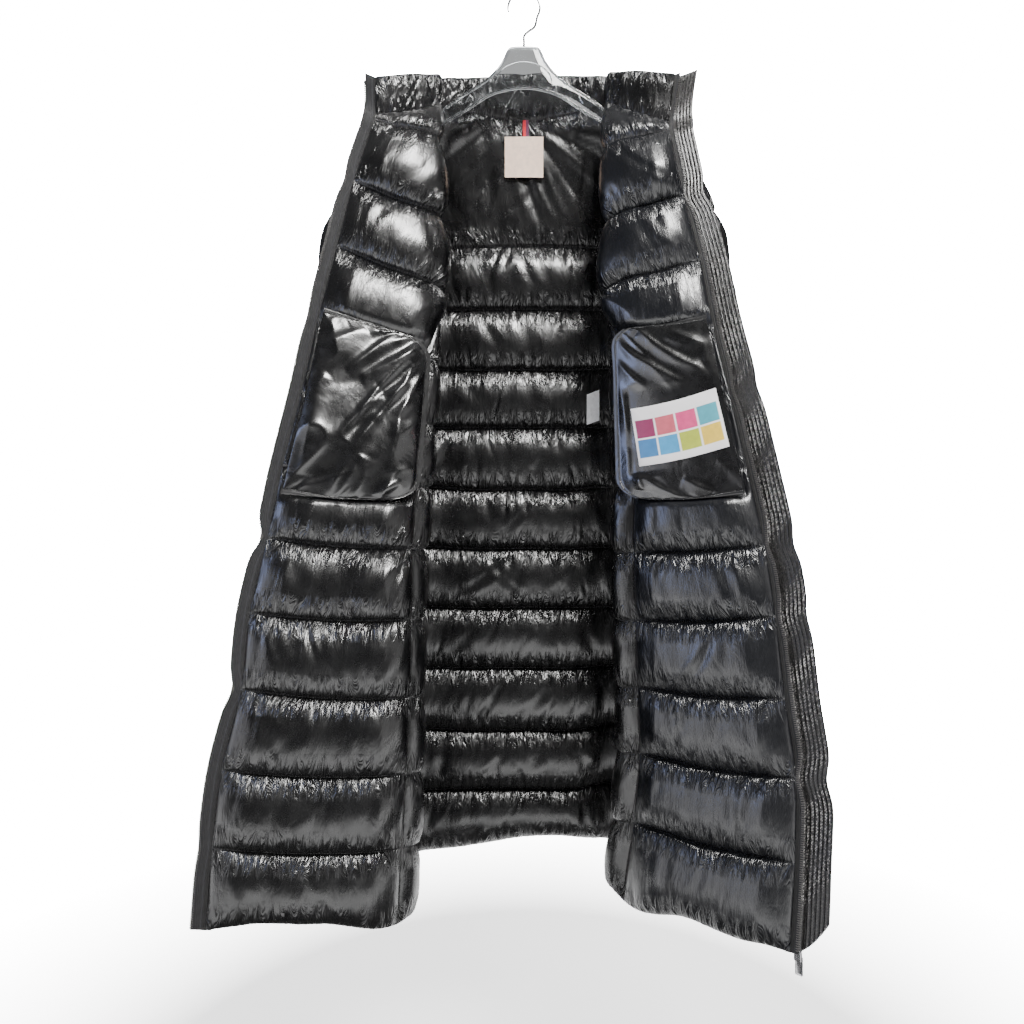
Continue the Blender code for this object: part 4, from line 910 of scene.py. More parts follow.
def make_side(name, side, seed, mat, pitch):
    lines = np.concatenate([[UNDERARM_LINE], np.arange(3, LINES + 1)])
    rows = fine_rows(lines, pitch * 1.2, CHANNEL_HEIGHT)
    middle, normal = panel(side, rows, front_seam_knot, lambda row: SEAM, int(SIDE_CUT / pitch))
    cloth = Cloth(middle, normal, rows, lines)
    sizes = bpy.context.scene.coat_sizes
    gather = Gather(0.0120, sizes.gather_depth * 0.95, 0.030, 0.0036, 0.3)
    finish = Finish(SIDE_PUFF, sizes.unevenness, gather, Fold(0.050, sizes.fold_depth, 0.8, 0.0052, 0.5))
    return shell_mesh(name, padded_faces(cloth, seed, finish), cloth, mat)


def back_surface(right, left, rows, half_count):
    fractions = np.linspace(0.0, 1.0, half_count)
    middle, normal = [], []
    for row in rows:
        one, one_normal = right.between(row, SEAM, MIDDLE, fractions, -SEAM_LAP)
        two, two_normal = left.between(row, SEAM, MIDDLE, fractions, -SEAM_LAP)
        two_normal = -two_normal
        middle.append(np.concatenate([one[:-1], [0.5 * (one[-1] + two[-1])], two[-2::-1]]))
        centre = 0.5 * (one_normal[-1] + two_normal[-1])
        normal.append(np.concatenate([one_normal[:-1], [centre], two_normal[-2::-1]]))
    return np.array(middle), np.array(normal)


def along_crease(cloth, crease):
    """Each point's part of the way along a crease, and its distance beside it."""
    start = np.array([crease.across, crease.down])
    along = np.array([crease.to_across, crease.to_down]) - start
    length = max(np.linalg.norm(along), 1e-6)
    along /= length
    x, y = cloth.across - start[0], cloth.down - start[1]
    return (x * along[0] + y * along[1]) / length, x * along[1] - y * along[0]


def long_creases(cloth, creases):
    """Soft ridges and troughs along straight runs over a panel."""
    relief = np.zeros(cloth.across.shape)
    for crease in creases:
        run, offset = along_crease(cloth, crease)
        fade = np.sin(pi * np.clip(run, 0.0, 1.0)) ** 0.6
        relief += crease.height * fade * np.exp(-((offset / crease.half_width) ** 2))
    return relief


def make_back(name, right, left, seed, mat, pitch):
    lines = np.concatenate([[0], np.arange(2, LINES + 1)])
    rows = fine_rows(lines, pitch * ROW_PITCH, CHANNEL_HEIGHT)
    middle, normal = back_surface(right, left, rows, int(BACK_HALF_CUT / pitch))
    middle[..., 2] += hem_lift(rows, middle.shape[1], BACK_HEM)
    cloth = Cloth(middle, normal, rows, lines)
    sizes = bpy.context.scene.coat_sizes
    puff = BODY_PUFF * np.interp(rows, *BACK_FILL)[:, None]
    finish = Finish(
        puff,
        sizes.unevenness,
        Gather(0.0085, sizes.gather_depth * 1.2, 0.020, 0.0032, 0.25),
        Fold(0.038, sizes.fold_depth, 0.90, 0.0080, 0.28),
    )
    swell = np.interp(rows, *BACK_SWELL)[:, None]
    faces = padded_faces(cloth, seed, finish, swell=swell)
    yoke = long_creases(cloth, YOKE_CREASES) * seam_fade(cloth)
    for index, turn in ((0, 1.0), (1, -1.0)):
        faces[index] = faces[index] + cloth.normal * (turn * yoke * 0.8)[..., None]
    return shell_mesh(name, faces, cloth, mat)


def neck_curve(right, left, columns):
    halves = []
    for side in (right, left):
        front = side.between(0.0, ZIP, FOLD, np.linspace(0, 1, 12))[0]
        back = side.between(0.0, OUTER, MIDDLE, np.linspace(0, 1, 10))[0]
        halves.append(np.concatenate([front, back]))
    neck = np.concatenate([halves[0], halves[1][-2::-1]])
    part = np.linspace(0.0, 1.0, columns)
    run = length_along(neck)
    seam = smooth_through(run, neck, part * run[-1])
    stand = np.array(COLLAR_STAND)
    stand[:, 2] -= COLLAR_FORWARD
    low = np.interp(part, COLLAR_LOW[0], COLLAR_LOW[1])[:, None]
    return seam, seam + smooth_through(stand[:, 0], stand[:, 1:], part) * low


def make_collar(name, right, left, seed, mat):
    seam, top = neck_curve(right, left, 250)
    lift = (top - seam) / np.linalg.norm(top - seam, axis=1, keepdims=True)
    foot = seam + COLLAR_GAP * lift
    rows = fine_rows((0.0, 1.0), 0.0022, 0.060)
    middle = np.array([foot + (top - foot) * row for row in rows])
    cloth = Cloth(middle, surface_normals(middle), rows, (0.0, 1.0))
    sizes = bpy.context.scene.coat_sizes
    gather = Gather(0.0070, sizes.gather_depth * 1.1, 0.024, 0.0020, 0.45)
    fold = Fold(0.030, sizes.fold_depth * 0.8, 0.7, 0.0044, 0.5)
    finish = Finish(COLLAR_PUFF, 0.08, gather, fold, COLLAR_ROUND)
    faces = padded_faces(cloth, seed, finish)
    edge = COLLAR_EDGE_HALF * np.exp(-(cloth.down[-1] - cloth.down) / 0.004)
    faces = [face + cloth.normal * (turn * edge)[..., None] for face, turn in zip(faces, (1.0, -1.0))]
    return shell_mesh(name, faces, cloth, mat)


def armhole_loop(side, sign, count):
    """The armhole's edge, at even steps from the shoulder down the front and up the back."""
    rows = np.linspace(0.0, UNDERARM_LINE, ARMHOLE_POINTS)
    front = [side.place(row, UNDER)[0] for row in rows]
    below = side.place(UNDERARM_LINE, 0.5 * (UNDER + SEAM))[0]
    back = [side.place(row, SEAM)[0] for row in rows[::-1]]
    shoulder = 0.5 * (front[0] + back[-1])
    loop = np.array([shoulder, *front[1:], below, *back[:-1], shoulder])
    at = np.linspace(0.0, len(loop) - 1.0, count, endpoint=False)
    return smooth_through(np.arange(len(loop)), loop, at) + np.array([sign * ARMHOLE_STEP, 0.0, 0.0])


def make_sleeve(name, side, sign, seed, mat, pitch):
    count = int(SLEEVE_CUT / pitch)
    rings = [armhole_loop(side, sign, count)] + [sleeve_ring(ring, sign, count) for ring in SLEEVE_RINGS]
    lines = np.arange(len(rings))
    rows = fine_rows(lines, pitch * ROW_PITCH, SLEEVE_CHANNEL)
    columns = [smooth_through(lines, [ring[i] for ring in rings], rows) for i in range(count)]
    middle = np.array(columns).transpose(1, 0, 2)
    cloth = Cloth(middle, surface_normals(middle, True), rows, lines, closed=True)
    sizes = bpy.context.scene.coat_sizes
    gather = Gather(0.0120, sizes.gather_depth * 0.9, 0.026, 0.0038, 0.3)
    finish = Finish(SLEEVE_PUFF, 0.2, gather, Fold(0.050, sizes.fold_depth * 0.8, 0.8, 0.0055, 0.5))
    return shell_mesh(name, padded_faces(cloth, seed, finish), cloth, mat)


# ---- zip, placket and pockets ----


def strip_cloth(middle):
    """A strip as cloth with no quilting of its own: one row of points for each step along it."""
    rows = np.linspace(0.0, 1.0, len(middle))
    return Cloth(middle, surface_normals(middle), rows, (0.0, 1.0))


def drawn_in(side, edge, nips):
    """How far a strip is drawn in beside the quilting lines that pull on it, in metres."""
    lines = np.arange(1, LINES + 1)
    heights = [side.place(line, ZIP)[0][2] for line in lines]
    row = np.interp(-edge[:, 2], -np.array(heights), lines)
    pull = np.zeros(len(edge))
    for line, depth in nips:
        pull += depth * np.exp(-(((row - line) / 0.20) ** 2))
    return pull


def make_tape(name, side, ends, seed, width, nips, mat):
    """A woven zip tape that comes out from under the front's edge."""
    edge, outward = zip_edge(side, ends, TAPE_STEPS)
    edge = edge - outward * drawn_in(side, edge, nips)[:, None]
    steps = np.concatenate([[-TAPE_HIDDEN], TAPE_GAP + (width - TAPE_GAP) * np.array(TAPE_COLUMNS)])
    cloth = strip_cloth(strip_along(edge, outward, steps, 0.0))
    half = np.array(TAPE_HALVES) * 0.001
    rng = np.random.default_rng(seed)
    sway = 0.0005 * soft_noise(rng, cloth.across, cloth.down, 0.028)
    middle = cloth.middle + cloth.normal * sway[..., None]
    faces = [middle + cloth.normal * turn * half[None, :, None] for turn in (1.0, -1.0)]
    return shell_mesh(name, faces, cloth, mat, near=cloth.across), edge, outward


def make_teeth(name, edge, outward, width, mat):
    """Fine moulded teeth along a tape's free edge."""
    run = length_along(edge)
    places = np.arange(0.004, run[-1] - 0.003, TOOTH_PITCH)
    centre = smooth_through(run, edge, places)
    out = smooth_through(run, outward, places)
    along = np.stack([np.gradient(edge[:, axis], run) for axis in range(3)], axis=1)
    along = smooth_through(run, along, places)
    along /= np.linalg.norm(along, axis=1, keepdims=True)
    out = out - along * np.sum(out * along, axis=1, keepdims=True)
    out /= np.linalg.norm(out, axis=1, keepdims=True)
    face = np.cross(out, along)
    points, polygons = [], []
    loops = [(u, w) for u, w in TOOTH_PROFILE] + [(u, -w) for u, w in reversed(TOOTH_PROFILE)]
    count = len(loops)
    for number in range(len(places)):
        start = len(points)
        for lift in (-TOOTH_HALF, TOOTH_HALF):
            for u, w in loops:
                sideways = out[number] * (width + u) + along[number] * w
                points.append(centre[number] + sideways + face[number] * lift)
        polygons.append([start + i for i in range(count)])
        polygons.append([start + count + i for i in reversed(range(count))])
        for i in range(count):
            one, two = start + i, start + (i + 1) % count
            polygons.append((one, two, two + count, one + count))
    mesh = bpy.data.meshes.new(name)
    mesh.from_pydata([tuple(map(float, p)) for p in points], [], polygons)
    return finished(name, mesh, mat, 30)


def make_placket(name, side, ends, seed, mat):
    """The wind placket: seven flat stitched rows with narrow grooves between them."""
    edge, outward = zip_edge(side, ends, PLACKET_STEPS)
    pull = drawn_in(side, edge, LEFT_NIPS)
    columns = 8 * PLACKET_ROWS + 1
    part = np.linspace(0.0, 1.0, columns)
    steps = PLACKET_START + PLACKET_WIDTH * part
    tucked = np.clip((steps - PLACKET_START) / PLACKET_TUCK, 0.0, 1.0) ** 0.8
    depth = PLACKET_INNER_DEPTH + (PLACKET_DEPTH - PLACKET_INNER_DEPTH) * tucked
    strip = strip_along(edge - outward * pull[:, None], outward, steps, depth)
    cloth = strip_cloth(rounded_top(strip, PLACKET_TOP_DROP * part**1.6))
    rng = np.random.default_rng(seed)
    ridge = np.clip(1.5 * np.abs(np.sin(pi * PLACKET_ROWS * part)), 0, 1)[None, :] ** 0.5
    pucker = soft_noise(rng, cloth.across, cloth.down, 0.0045, 512)
    sway = 0.0014 * soft_noise(rng, cloth.across * 0.3, cloth.down, 0.060)
    middle = cloth.middle + cloth.normal * sway[..., None]
    half = PLACKET_GROOVE + ridge * (PLACKET_RIDGE + 0.00012 * pucker)
    half[:, 0] = half[:, -1] = PLACKET_RIDGE
    groove = np.abs((part * PLACKET_ROWS + 0.5) % 1.0 - 0.5) * PLACKET_WIDTH / PLACKET_ROWS
    near = groove[None, :] + np.zeros_like(half)
    faces = [middle + cloth.normal * (turn * half)[..., None] for turn in (1.0, -1.0)]
    return shell_mesh(name, faces, cloth, mat, near=near)


def rounded_top(strip, drops):
    """The strip with the top of each column drawn down by its own amount."""
    shaped = strip.copy()
    for column, drop in enumerate(drops):
        line = strip[:, column]
        run = length_along(line)
        start = run + drop * np.clip(1.0 - run / (3.0 * PLACKET_TOP_DROP), 0.0, 1.0)
        for axis in range(3):
            shaped[:, column, axis] = np.interp(start, run, line[:, axis])
    return shaped


def pocket_rows(count):
    """Parts of the way down a pocket bag, closer together at its ends."""
    part = np.linspace(0.0, 1.0, count)
    return part - 0.8 * np.sin(2 * pi * part) / (2 * pi)


def pocket_surface(side, bag, rows, columns, lift):
    middle = []
    for part in rows:
        from_end = min(part, 1.0 - part) * (bag.low_zip - bag.top_zip)
        cut = max(0.0, 1.0 - from_end / POCKET_CORNER_LINES)
        far = bag.far_side - POCKET_CORNER_ACROSS * (1.0 - (1.0 - cut**2) ** 0.5)
        row = []
        for across in np.linspace(POCKET_START, far, columns):
            top = bag.top_zip + (bag.top_fold - bag.top_zip) * across
            low = bag.low_zip + (bag.low_fold - bag.low_zip) * across
            row.append(over_front(side, top + (low - top) * part, across, lift))
        middle.append(row)
    return np.array(middle)


def make_pocket(name, side, bag, seed, creases, fan, swell, mat, patch):
    """A thin pocket bag with a stitched binding, pulled into long film-like folds."""
    coarse = pocket_surface(side, bag, pocket_rows(26), 18, POCKET_LIFT)
    middle = refined(coarse, 120, 84)
    cloth = Cloth(middle, surface_normals(middle), np.linspace(0, 1, len(middle)), (0.0, 1.0))
    outward = cloth.normal * -np.sign(cloth.normal[..., 1:2].mean())
    rng = np.random.default_rng(seed)
    width, height = cloth.width.mean(), cloth.down[-1].mean()
    edge = np.minimum(cloth.width[:, None] - cloth.across, end_distance(cloth))  # three bound sides
    free = 1 - np.exp(-np.maximum(np.minimum(edge - BINDING, cloth.across), 0.0) / 0.010)
    relief = 0.0016 * soft_noise(rng, cloth.across, cloth.down, 0.045)
    relief = relief + swell * np.sin(pi * np.clip(cloth.down / cloth.down[-1], 0.0, 1.0) ** 1.3)
    for crease in creases:
        scaled = crease._replace(
            across=crease.across * width, down=crease.down * height,
            to_across=crease.to_across * width, to_down=crease.to_down * height,
        )
        relief = relief + film_fold(cloth, scaled)
    relief = relief + fan * fanned(cloth, rng, width)
    relief = relief + gather_relief(cloth, rng, Gather(0.008, 0.0017, 0.014, 0.0024, 0.6))
    for _ in range(POCKET_SMALL_FOLDS):
        x, y = rng.uniform(0, width), rng.uniform(0, height)
        angle, length = rng.uniform(0, 2 * pi), rng.uniform(0.02, 0.06)
        small = Crease(
            x, y, x + length * cos(angle), y + length * sin(angle),
            rng.uniform(0.002, 0.004), rng.uniform(-0.0012, 0.0012),
        )
        relief = relief + film_fold(cloth, small)
    if patch is not None:
        u, v = cloth.across / cloth.width[:, None], cloth.down / cloth.down[-1]
        left, top, right, low = patch
        calm = np.clip((u - left) / 0.04 + 0.5, 0, 1) * np.clip((right - u) / 0.04 + 0.5, 0, 1)
        calm = calm * np.clip((v - top) / 0.04 + 0.5, 0, 1) * np.clip((low - v) / 0.04 + 0.5, 0, 1)
        relief = relief * (1 - 0.85 * calm)
    binding = BINDING_RISE * np.clip((BINDING - edge) / 0.0008 + 0.5, 0, 1)
    seams = [np.exp(-(((edge - at) / 0.0006) ** 2)) for at in (0.0012, BINDING - 0.0012)]
    groove = 0.0005 * (seams[0] + seams[1])
    top = np.maximum(relief, -0.0008) * free + binding - groove
    faces = [middle + outward * (0.0006 + top)[..., None], middle - outward * 0.0006]
    return shell_mesh(name, faces, cloth, mat, near=edge)


def fanned(cloth, rng, width):
    """Soft sharp-crested folds that fan out from above the bag's far corner."""
    x, y = cloth.across - FAN_FOCUS[0] * width, cloth.down - FAN_FOCUS[1] * width
    away, turn = np.hypot(x, y), np.arctan2(y, x)
    crest = 1.0 - np.abs(soft_noise(rng, turn * 0.16, away * 0.34, 0.022))
    return crest**2 * np.clip(away / 0.05, 0.0, 1.0)


def film_fold(cloth, crease):
    """A fold with one steep flank, as thin film makes."""
    run, offset = along_crease(cloth, crease)
    fade = np.sin(pi * np.clip(run, 0.0, 1.0)) ** 0.5
    flank = np.where(offset > 0, offset / crease.half_width, -offset / (2.6 * crease.half_width))
    return crease.height * fade * np.exp(-(flank**1.5))


def refined(grid, rows, columns):
    """A finer grid of points smoothly through a coarse one."""
    across = np.linspace(0, grid.shape[1] - 1, columns)
    wide = np.array([smooth_through(np.arange(grid.shape[1]), row, across) for row in grid])
    down = np.linspace(0, grid.shape[0] - 1, rows)
    fine = [smooth_through(np.arange(grid.shape[0]), wide[:, i], down) for i in range(columns)]
    return np.array(fine).transpose(1, 0, 2)


def zip_foot_frame(side):
    """Place and axes of the pull's axis: across the tape, outward from the coat, up."""
    near, far = (side.place(LINES - 0.2, knot)[0] for knot in (ZIP, ZIP + 0.3))
    across = near - far
    across[2] = 0.0
    across /= np.linalg.norm(across)
    outward = np.array([-across[1], across[0], 0.0])
    outward *= np.sign(outward[1])
    across = np.array([outward[1], -outward[0], 0.0])
    foot = side.place(LINES, ZIP)[0]
    away = TEETH_HALF + SEAM_GAP + SLIDER_SIZE[1] + SLIDER_CLEAR
    place = foot + across * LEFT_TAPE_WIDTH * 0.8 + outward * away
    frame = Matrix.Identity(4)
    for row in range(3):
        frame[row][0], frame[row][1] = across[row], outward[row]
    frame.translation = Vector((place[0], place[1], foot[2] - PULL_DROP))
    return frame


# ---- labels and loop ----


def label_sheet(name, size, columns, rows, curl, mat, hem=0.0):
    """A thin woven label or tape on its plate's corner and edges, slightly curled and hemmed."""
    corner, right, down = (np.array(v, float) for v in (size.corner, size.right, size.down))
    u, v = np.meshgrid(np.linspace(0, 1, columns), np.linspace(0, 1, rows))
    middle = corner + u[..., None] * right + v[..., None] * down
    normal = np.cross(right, down)
    normal /= np.linalg.norm(normal)
    normal *= -np.sign(normal[1]) if abs(normal[1]) > 0.1 else 1.0
    wave = curl * (np.sin(pi * u) * 0.5 + 0.35 * np.sin(2 * pi * v + 0.6) * u + 0.25 * np.cos(pi * u) * v)
    middle = middle + normal * wave[..., None]
    cloth = Cloth(middle, surface_normals(middle), np.linspace(0, 1, rows), (0.0, 1.0))
    edge = np.minimum(side_distance(cloth), end_distance(cloth))
    half = size.thickness / 2 + 0.00025 * (edge < hem)
    faces = [middle + cloth.normal * (turn * half)[..., None] for turn in (1.0, -1.0)]
    return shell_mesh(name, faces, cloth, mat, 60, near=edge)


def make_printed_label(side, mat):
    """The printed patch on the left pocket bag: a satin film with blocks of colour."""
    near_top, far_top, far_low, near_low = (np.array(corner) for corner in PRINT_CORNERS)
    coarse = []
    for down in np.linspace(0.0, 1.0, 9):
        start = near_top + (near_low - near_top) * down
        end = far_top + (far_low - far_top) * down
        patch = [start + (end - start) * part for part in np.linspace(0.0, 1.0, 11)]
        coarse.append([over_front(side, line, across, PRINT_LIFT) for line, across in patch])
    middle = refined(np.array(coarse), 60, 84)
    cloth = Cloth(middle, surface_normals(middle), np.linspace(0, 1, len(middle)), (0.0, 1.0))
    outward = cloth.normal * -np.sign(cloth.normal[..., 1:2].mean())
    rng = np.random.default_rng(91)
    edge = np.minimum(side_distance(cloth), end_distance(cloth))
    relief = 0.0010 + 0.0012 * soft_noise(rng, cloth.across, cloth.down, 0.030)
    relief = relief * (1 - np.exp(-edge / 0.006))
    faces = [middle + outward * (relief + half)[..., None] for half in (0.0003, -0.0003)]
    u = cloth.across / cloth.width[:, None]
    v = cloth.down / cloth.down[-1]
    shares = Cloth(middle, cloth.normal, cloth.rows, cloth.lines)
    shares.across, shares.down = u, v
    return shell_mesh("printed_patch", faces, shares, mat, near=edge)


# ---- hanger and hook ----


def hanger_outline(inset):
    """The hanger's whole outline, smoothed, and drawn in by an inset."""
    right = [*HANGER_TOP, *HANGER_UNDER]
    left = [Outline(-p.x, p.z) for p in reversed(right) if p.x > 0.0]
    points = np.array(right + left, float)
    for _ in range(2):
        following = np.roll(points, -1, axis=0)
        points = np.stack([0.75 * points + 0.25 * following, 0.25 * points + 0.75 * following], axis=1)
        points = points.reshape(-1, 2)
    along = np.roll(points, -1, axis=0) - np.roll(points, 1, axis=0)
    along /= np.linalg.norm(along, axis=1, keepdims=True)
    inward = np.stack([along[:, 1], -along[:, 0]], axis=1)
    return points + inward * inset


def curve_mesh(name, curve, mat, turn=None):
    """The evaluated curve, welded, as a finished piece."""
    obj = bpy.data.objects.new(name + "_curve", curve)
    if turn is not None:
        obj.rotation_euler = turn
    bpy.context.scene.collection.objects.link(obj)
    bpy.context.view_layer.update()
    depsgraph = bpy.context.evaluated_depsgraph_get()
    mesh = bpy.data.meshes.new_from_object(obj.evaluated_get(depsgraph))
    mesh.transform(obj.matrix_world)
    bpy.data.objects.remove(obj, do_unlink=True)
    shape = bmesh.new()
    shape.from_mesh(mesh)
    bmesh.ops.remove_doubles(shape, verts=shape.verts, dist=1e-6)
    shape.to_mesh(mesh)
    shape.free()
    mesh.name = name
    return finished(name, mesh, mat)


def poly_curve(name, points, cyclic, **settings):
    """A curve of straight steps through 3-D points."""
    curve = bpy.data.curves.new(name, "CURVE")
    for key, value in settings.items():
        setattr(curve, key, value)
    spline = curve.splines.new("POLY")
    spline.points.add(len(points) - 1)
    for target, point in zip(spline.points, points):
        target.co = (*map(float, point), 1.0)
    spline.use_cyclic_u = cyclic
    return curve


def outline_curve(name, points, half, bevel):
    """A flat filled outline with a thickness and a small bevel."""
    return poly_curve(
        name, [(x, z, 0.0) for x, z in points], True, dimensions="2D", fill_mode="BOTH",
        extrude=half, bevel_depth=bevel, bevel_resolution=2,
    )


def wire_curve(name, points, radius, cyclic=False):
    return poly_curve(
        name, points, cyclic, dimensions="3D", bevel_depth=radius, bevel_resolution=4,
        use_fill_caps=True,
    )


def make_hanger(mat):
    """A moulded hanger: a thin web inside a thick rounded rim."""
    turn = (pi / 2, 0.0, 0.0)
    web = outline_curve("hanger_web", hanger_outline(HANGER_RIM_RADIUS), HANGER_WEB_HALF, HANGER_BEVEL)
    web = curve_mesh("hanger_web", web, mat, turn)
    rim_points = [(x, 0.0, z) for x, z in hanger_outline(HANGER_RIM_INSET)]
    rim = curve_mesh("hanger_rim", wire_curve("hanger_rim", rim_points, HANGER_RIM_RADIUS, True), mat)
    ridges = [web, rim]
    half, height, foot = HANGER_ARCH
    around = np.linspace(0.0, pi, 30)
    arch = [(half * cos(angle), HANGER_FACE, foot + height * sin(angle)) for angle in around]
    for name, points in (("arch", arch), ("rib_right", HANGER_RIBS[0]), ("rib_left", HANGER_RIBS[1])):
        wire = wire_curve("hanger_" + name, np.array(points), HANGER_RIB_RADIUS)
        ridges.append(curve_mesh("hanger_" + name, wire, mat))
    return ridges


def make_hook(mat):
    radius = HOOK_RADIUS + HOOK_WIRE
    low = HANGER_TOP[0].z + SEAM_GAP
    turns = [radians(angle) for angle in range(HOOK_START, HOOK_END + 1, HOOK_STEP)]
    arc = [(-radius * sin(turn), 0.0, radius * cos(turn) - HOOK_RADIUS) for turn in turns]
    stem = [(bend.out * arc[0][0], 0.0, low + bend.rise) for bend in HOOK_BEND]
    points = np.array(stem + arc)
    run = length_along(points)
    fine = smooth_through(run, points, np.linspace(0, run[-1], 120))
    return curve_mesh("wire_hook", wire_curve("wire_hook", fine, HOOK_WIRE), mat)


# ---- slider's pull ----


def make_pull(foot, mat):
    """The stamped pull tab: rounded, with its slot, a raised rim and a sunk middle."""
    width, height = PULL_WIDTH / 2, PULL_LENGTH
    outline = []
    for x, z, start in ((width, -height, -90), (width, 0.0, 0), (-width, 0.0, 90), (-width, -height, 180)):
        radius = PULL_CORNER
        cx = x - np.sign(x) * radius
        cz = z + (radius if z < -0.01 else -radius)
        for step in range(5):
            angle = radians(start + 90 * step / 4)
            outline.append((cx + radius * cos(angle), cz + radius * sin(angle) + PULL_BAR))
    layers = ((0.0, PULL_THICK / 2), (0.0005, PULL_THICK / 2), (0.0009, PULL_THICK / 2 - 0.0003))
    shape = bmesh.new()
    rings = []
    centre = np.array([0.0, -height / 2 + PULL_BAR])
    for side in (-1, 1):
        for inset, lift in layers if side > 0 else layers[::-1]:
            shrink = 1.0 - inset / np.array([width, height / 2])
            points = centre + (np.array(outline) - centre) * shrink
            rings.append([shape.verts.new((x, side * lift, z)) for x, z in points])
    for one, two in zip(rings[:-1], rings[1:]):
        for i in range(len(one)):
            j = (i + 1) % len(one)
            shape.faces.new((one[i], one[j], two[j], two[i]))
    shape.faces.new(rings[0][::-1])
    shape.faces.new(rings[-1])
    bmesh.ops.recalc_face_normals(shape, faces=shape.faces)
    mesh = bpy.data.meshes.new("pull_tab")
    shape.to_mesh(mesh)
    shape.free()
    mesh.transform(foot)
    obj = finished("pull_tab", mesh, mat, 35, body="pull")
    cutter = bpy.data.meshes.new("pull_slot")
    shape = bmesh.new()
    made = bmesh.ops.create_cube(shape, size=1.0)
    place = Matrix.Translation((0.0, 0.0, -PULL_BAR - PULL_SLOT[2] / 2))
    place = place @ Matrix.Diagonal((*PULL_SLOT, 1.0))
    bmesh.ops.transform(shape, matrix=place, verts=made["verts"])
    shape.to_mesh(cutter)
    shape.free()
    cutter.transform(foot)
    hole = bpy.data.objects.new("pull_slot", cutter)
    bpy.context.scene.collection.objects.link(hole)
    cut = obj.modifiers.new("slot", "BOOLEAN")
    cut.operation = "DIFFERENCE"
    cut.object = hole
    bpy.context.view_layer.update()
    depsgraph = bpy.context.evaluated_depsgraph_get()
    done = bpy.data.meshes.new_from_object(obj.evaluated_get(depsgraph))
    obj.modifiers.clear()
    obj.data = done
    bpy.data.objects.remove(hole, do_unlink=True)
    return obj


# ---- materials ----


class Shader:
    """Builds one procedural material: small helpers round its node tree."""

    def __init__(self, name, **constant):
        self.mat = bpy.data.materials.new(name)
        self.mat.use_nodes = True
        self.tree = self.mat.node_tree
        self.main = self.tree.nodes["Principled BSDF"]
        for socket, value in constant.items():
            self.main.inputs[socket.replace("_", " ")].default_value = value

    def node(self, kind, values=(), **settings):
        made = self.tree.nodes.new(kind)
        for key, value in settings.items():
            setattr(made, key, value)
        for socket, value in dict(values).items():
            target = made.inputs[socket]
            if isinstance(value, bpy.types.NodeSocket):
                self.tree.links.new(value, target)
            else:
                target.default_value = value
        return made

    def times(self, one, two):
        return self.maths("MULTIPLY", one, two)

    def plus(self, one, two):
        return self.maths("ADD", one, two)

    def minus(self, one, two):
        return self.maths("SUBTRACT", one, two)

    def larger(self, one, two):
        return self.maths("MAXIMUM", one, two)

    def maths(self, operation, one, two=None):
        values = {0: one} if two is None else {0: one, 1: two}
        return self.node("ShaderNodeMath", values, operation=operation).outputs[0]

    def ramp(self, value, low, high, to_low=0.0, to_high=1.0):
        values = {"Value": value, "From Min": low, "From Max": high, "To Min": to_low, "To Max": to_high}
        return self.node("ShaderNodeMapRange", values, clamp=True).outputs["Result"]

    def quilt(self):
        return self.node("ShaderNodeAttribute", attribute_name="quilt").outputs["Vector"]

    def measures(self):
        """The cloth's own measures: across, down, and the distance from stitching or an edge."""
        return self.node("ShaderNodeSeparateXYZ", {0: self.quilt()}).outputs

    def stretched(self, vector, scale):
        return self.node("ShaderNodeVectorMath", {0: vector, 1: scale}, operation="MULTIPLY").outputs[0]

    def grain(self, scale, *settings):
        """Noise that follows the cloth, with its own scale across, down and away from stitching."""
        return self.noise(self.stretched(self.quilt(), scale), 1.0, *settings)

    def combined(self, x, y):
        return self.node("ShaderNodeCombineXYZ", {0: x, 1: y}).outputs[0]

    def line_at(self, value, place, low, high):
        """1 on a thin line where a value reaches a place, 0 away from it."""
        return self.ramp(self.maths("ABSOLUTE", self.minus(value, place)), low, high, 1.0, 0.0)

    def dashes(self, run, share):
        """Stitches along a run: 1 on the thread, 0 between two stitches."""
        part = self.maths("FRACT", self.maths("DIVIDE", run, STITCH_LENGTH))
        return self.maths("LESS_THAN", part, share)

    def place(self):
        return self.node("ShaderNodeTexCoord").outputs["Object"]

    def noise(self, vector, scale, detail=3.0, roughness=0.55, distortion=0.0):
        values = {"Vector": vector, "Scale": scale, "Detail": detail}
        values.update({"Roughness": roughness, "Distortion": distortion})
        return self.node("ShaderNodeTexNoise", values).outputs["Fac"]

    def cells(self, vector, scale):
        return self.node("ShaderNodeTexVoronoi", {"Vector": vector, "Scale": scale}).outputs["Distance"]

    def bump(self, height, distance, strength, normal=None):
        values = {"Height": height, "Distance": distance, "Strength": strength}
        if normal is not None:
            values["Normal"] = normal
        return self.node("ShaderNodeBump", values).outputs["Normal"]

    def mix(self, factor, one, two):
        made = self.node("ShaderNodeMix", data_type="RGBA")
        for socket, value in (("Factor_Float", factor), ("A_Color", one), ("B_Color", two)):
            target = next(s for s in made.inputs if s.identifier == socket)
            if isinstance(value, bpy.types.NodeSocket):
                self.tree.links.new(value, target)
            else:
                target.default_value = value
        return next(s for s in made.outputs if s.identifier == "Result_Color")

    def set(self, **links):
        for socket, value in links.items():
            self.tree.links.new(value, self.main.inputs[socket.replace("_", " ")])
        return self.mat


def colour(value):
    return (*value, 1.0)


def tinted(tint, strength):
    """A tint made darker or lighter, no brighter than white."""
    return colour(tuple(min(1.0, part * strength) for part in tint))


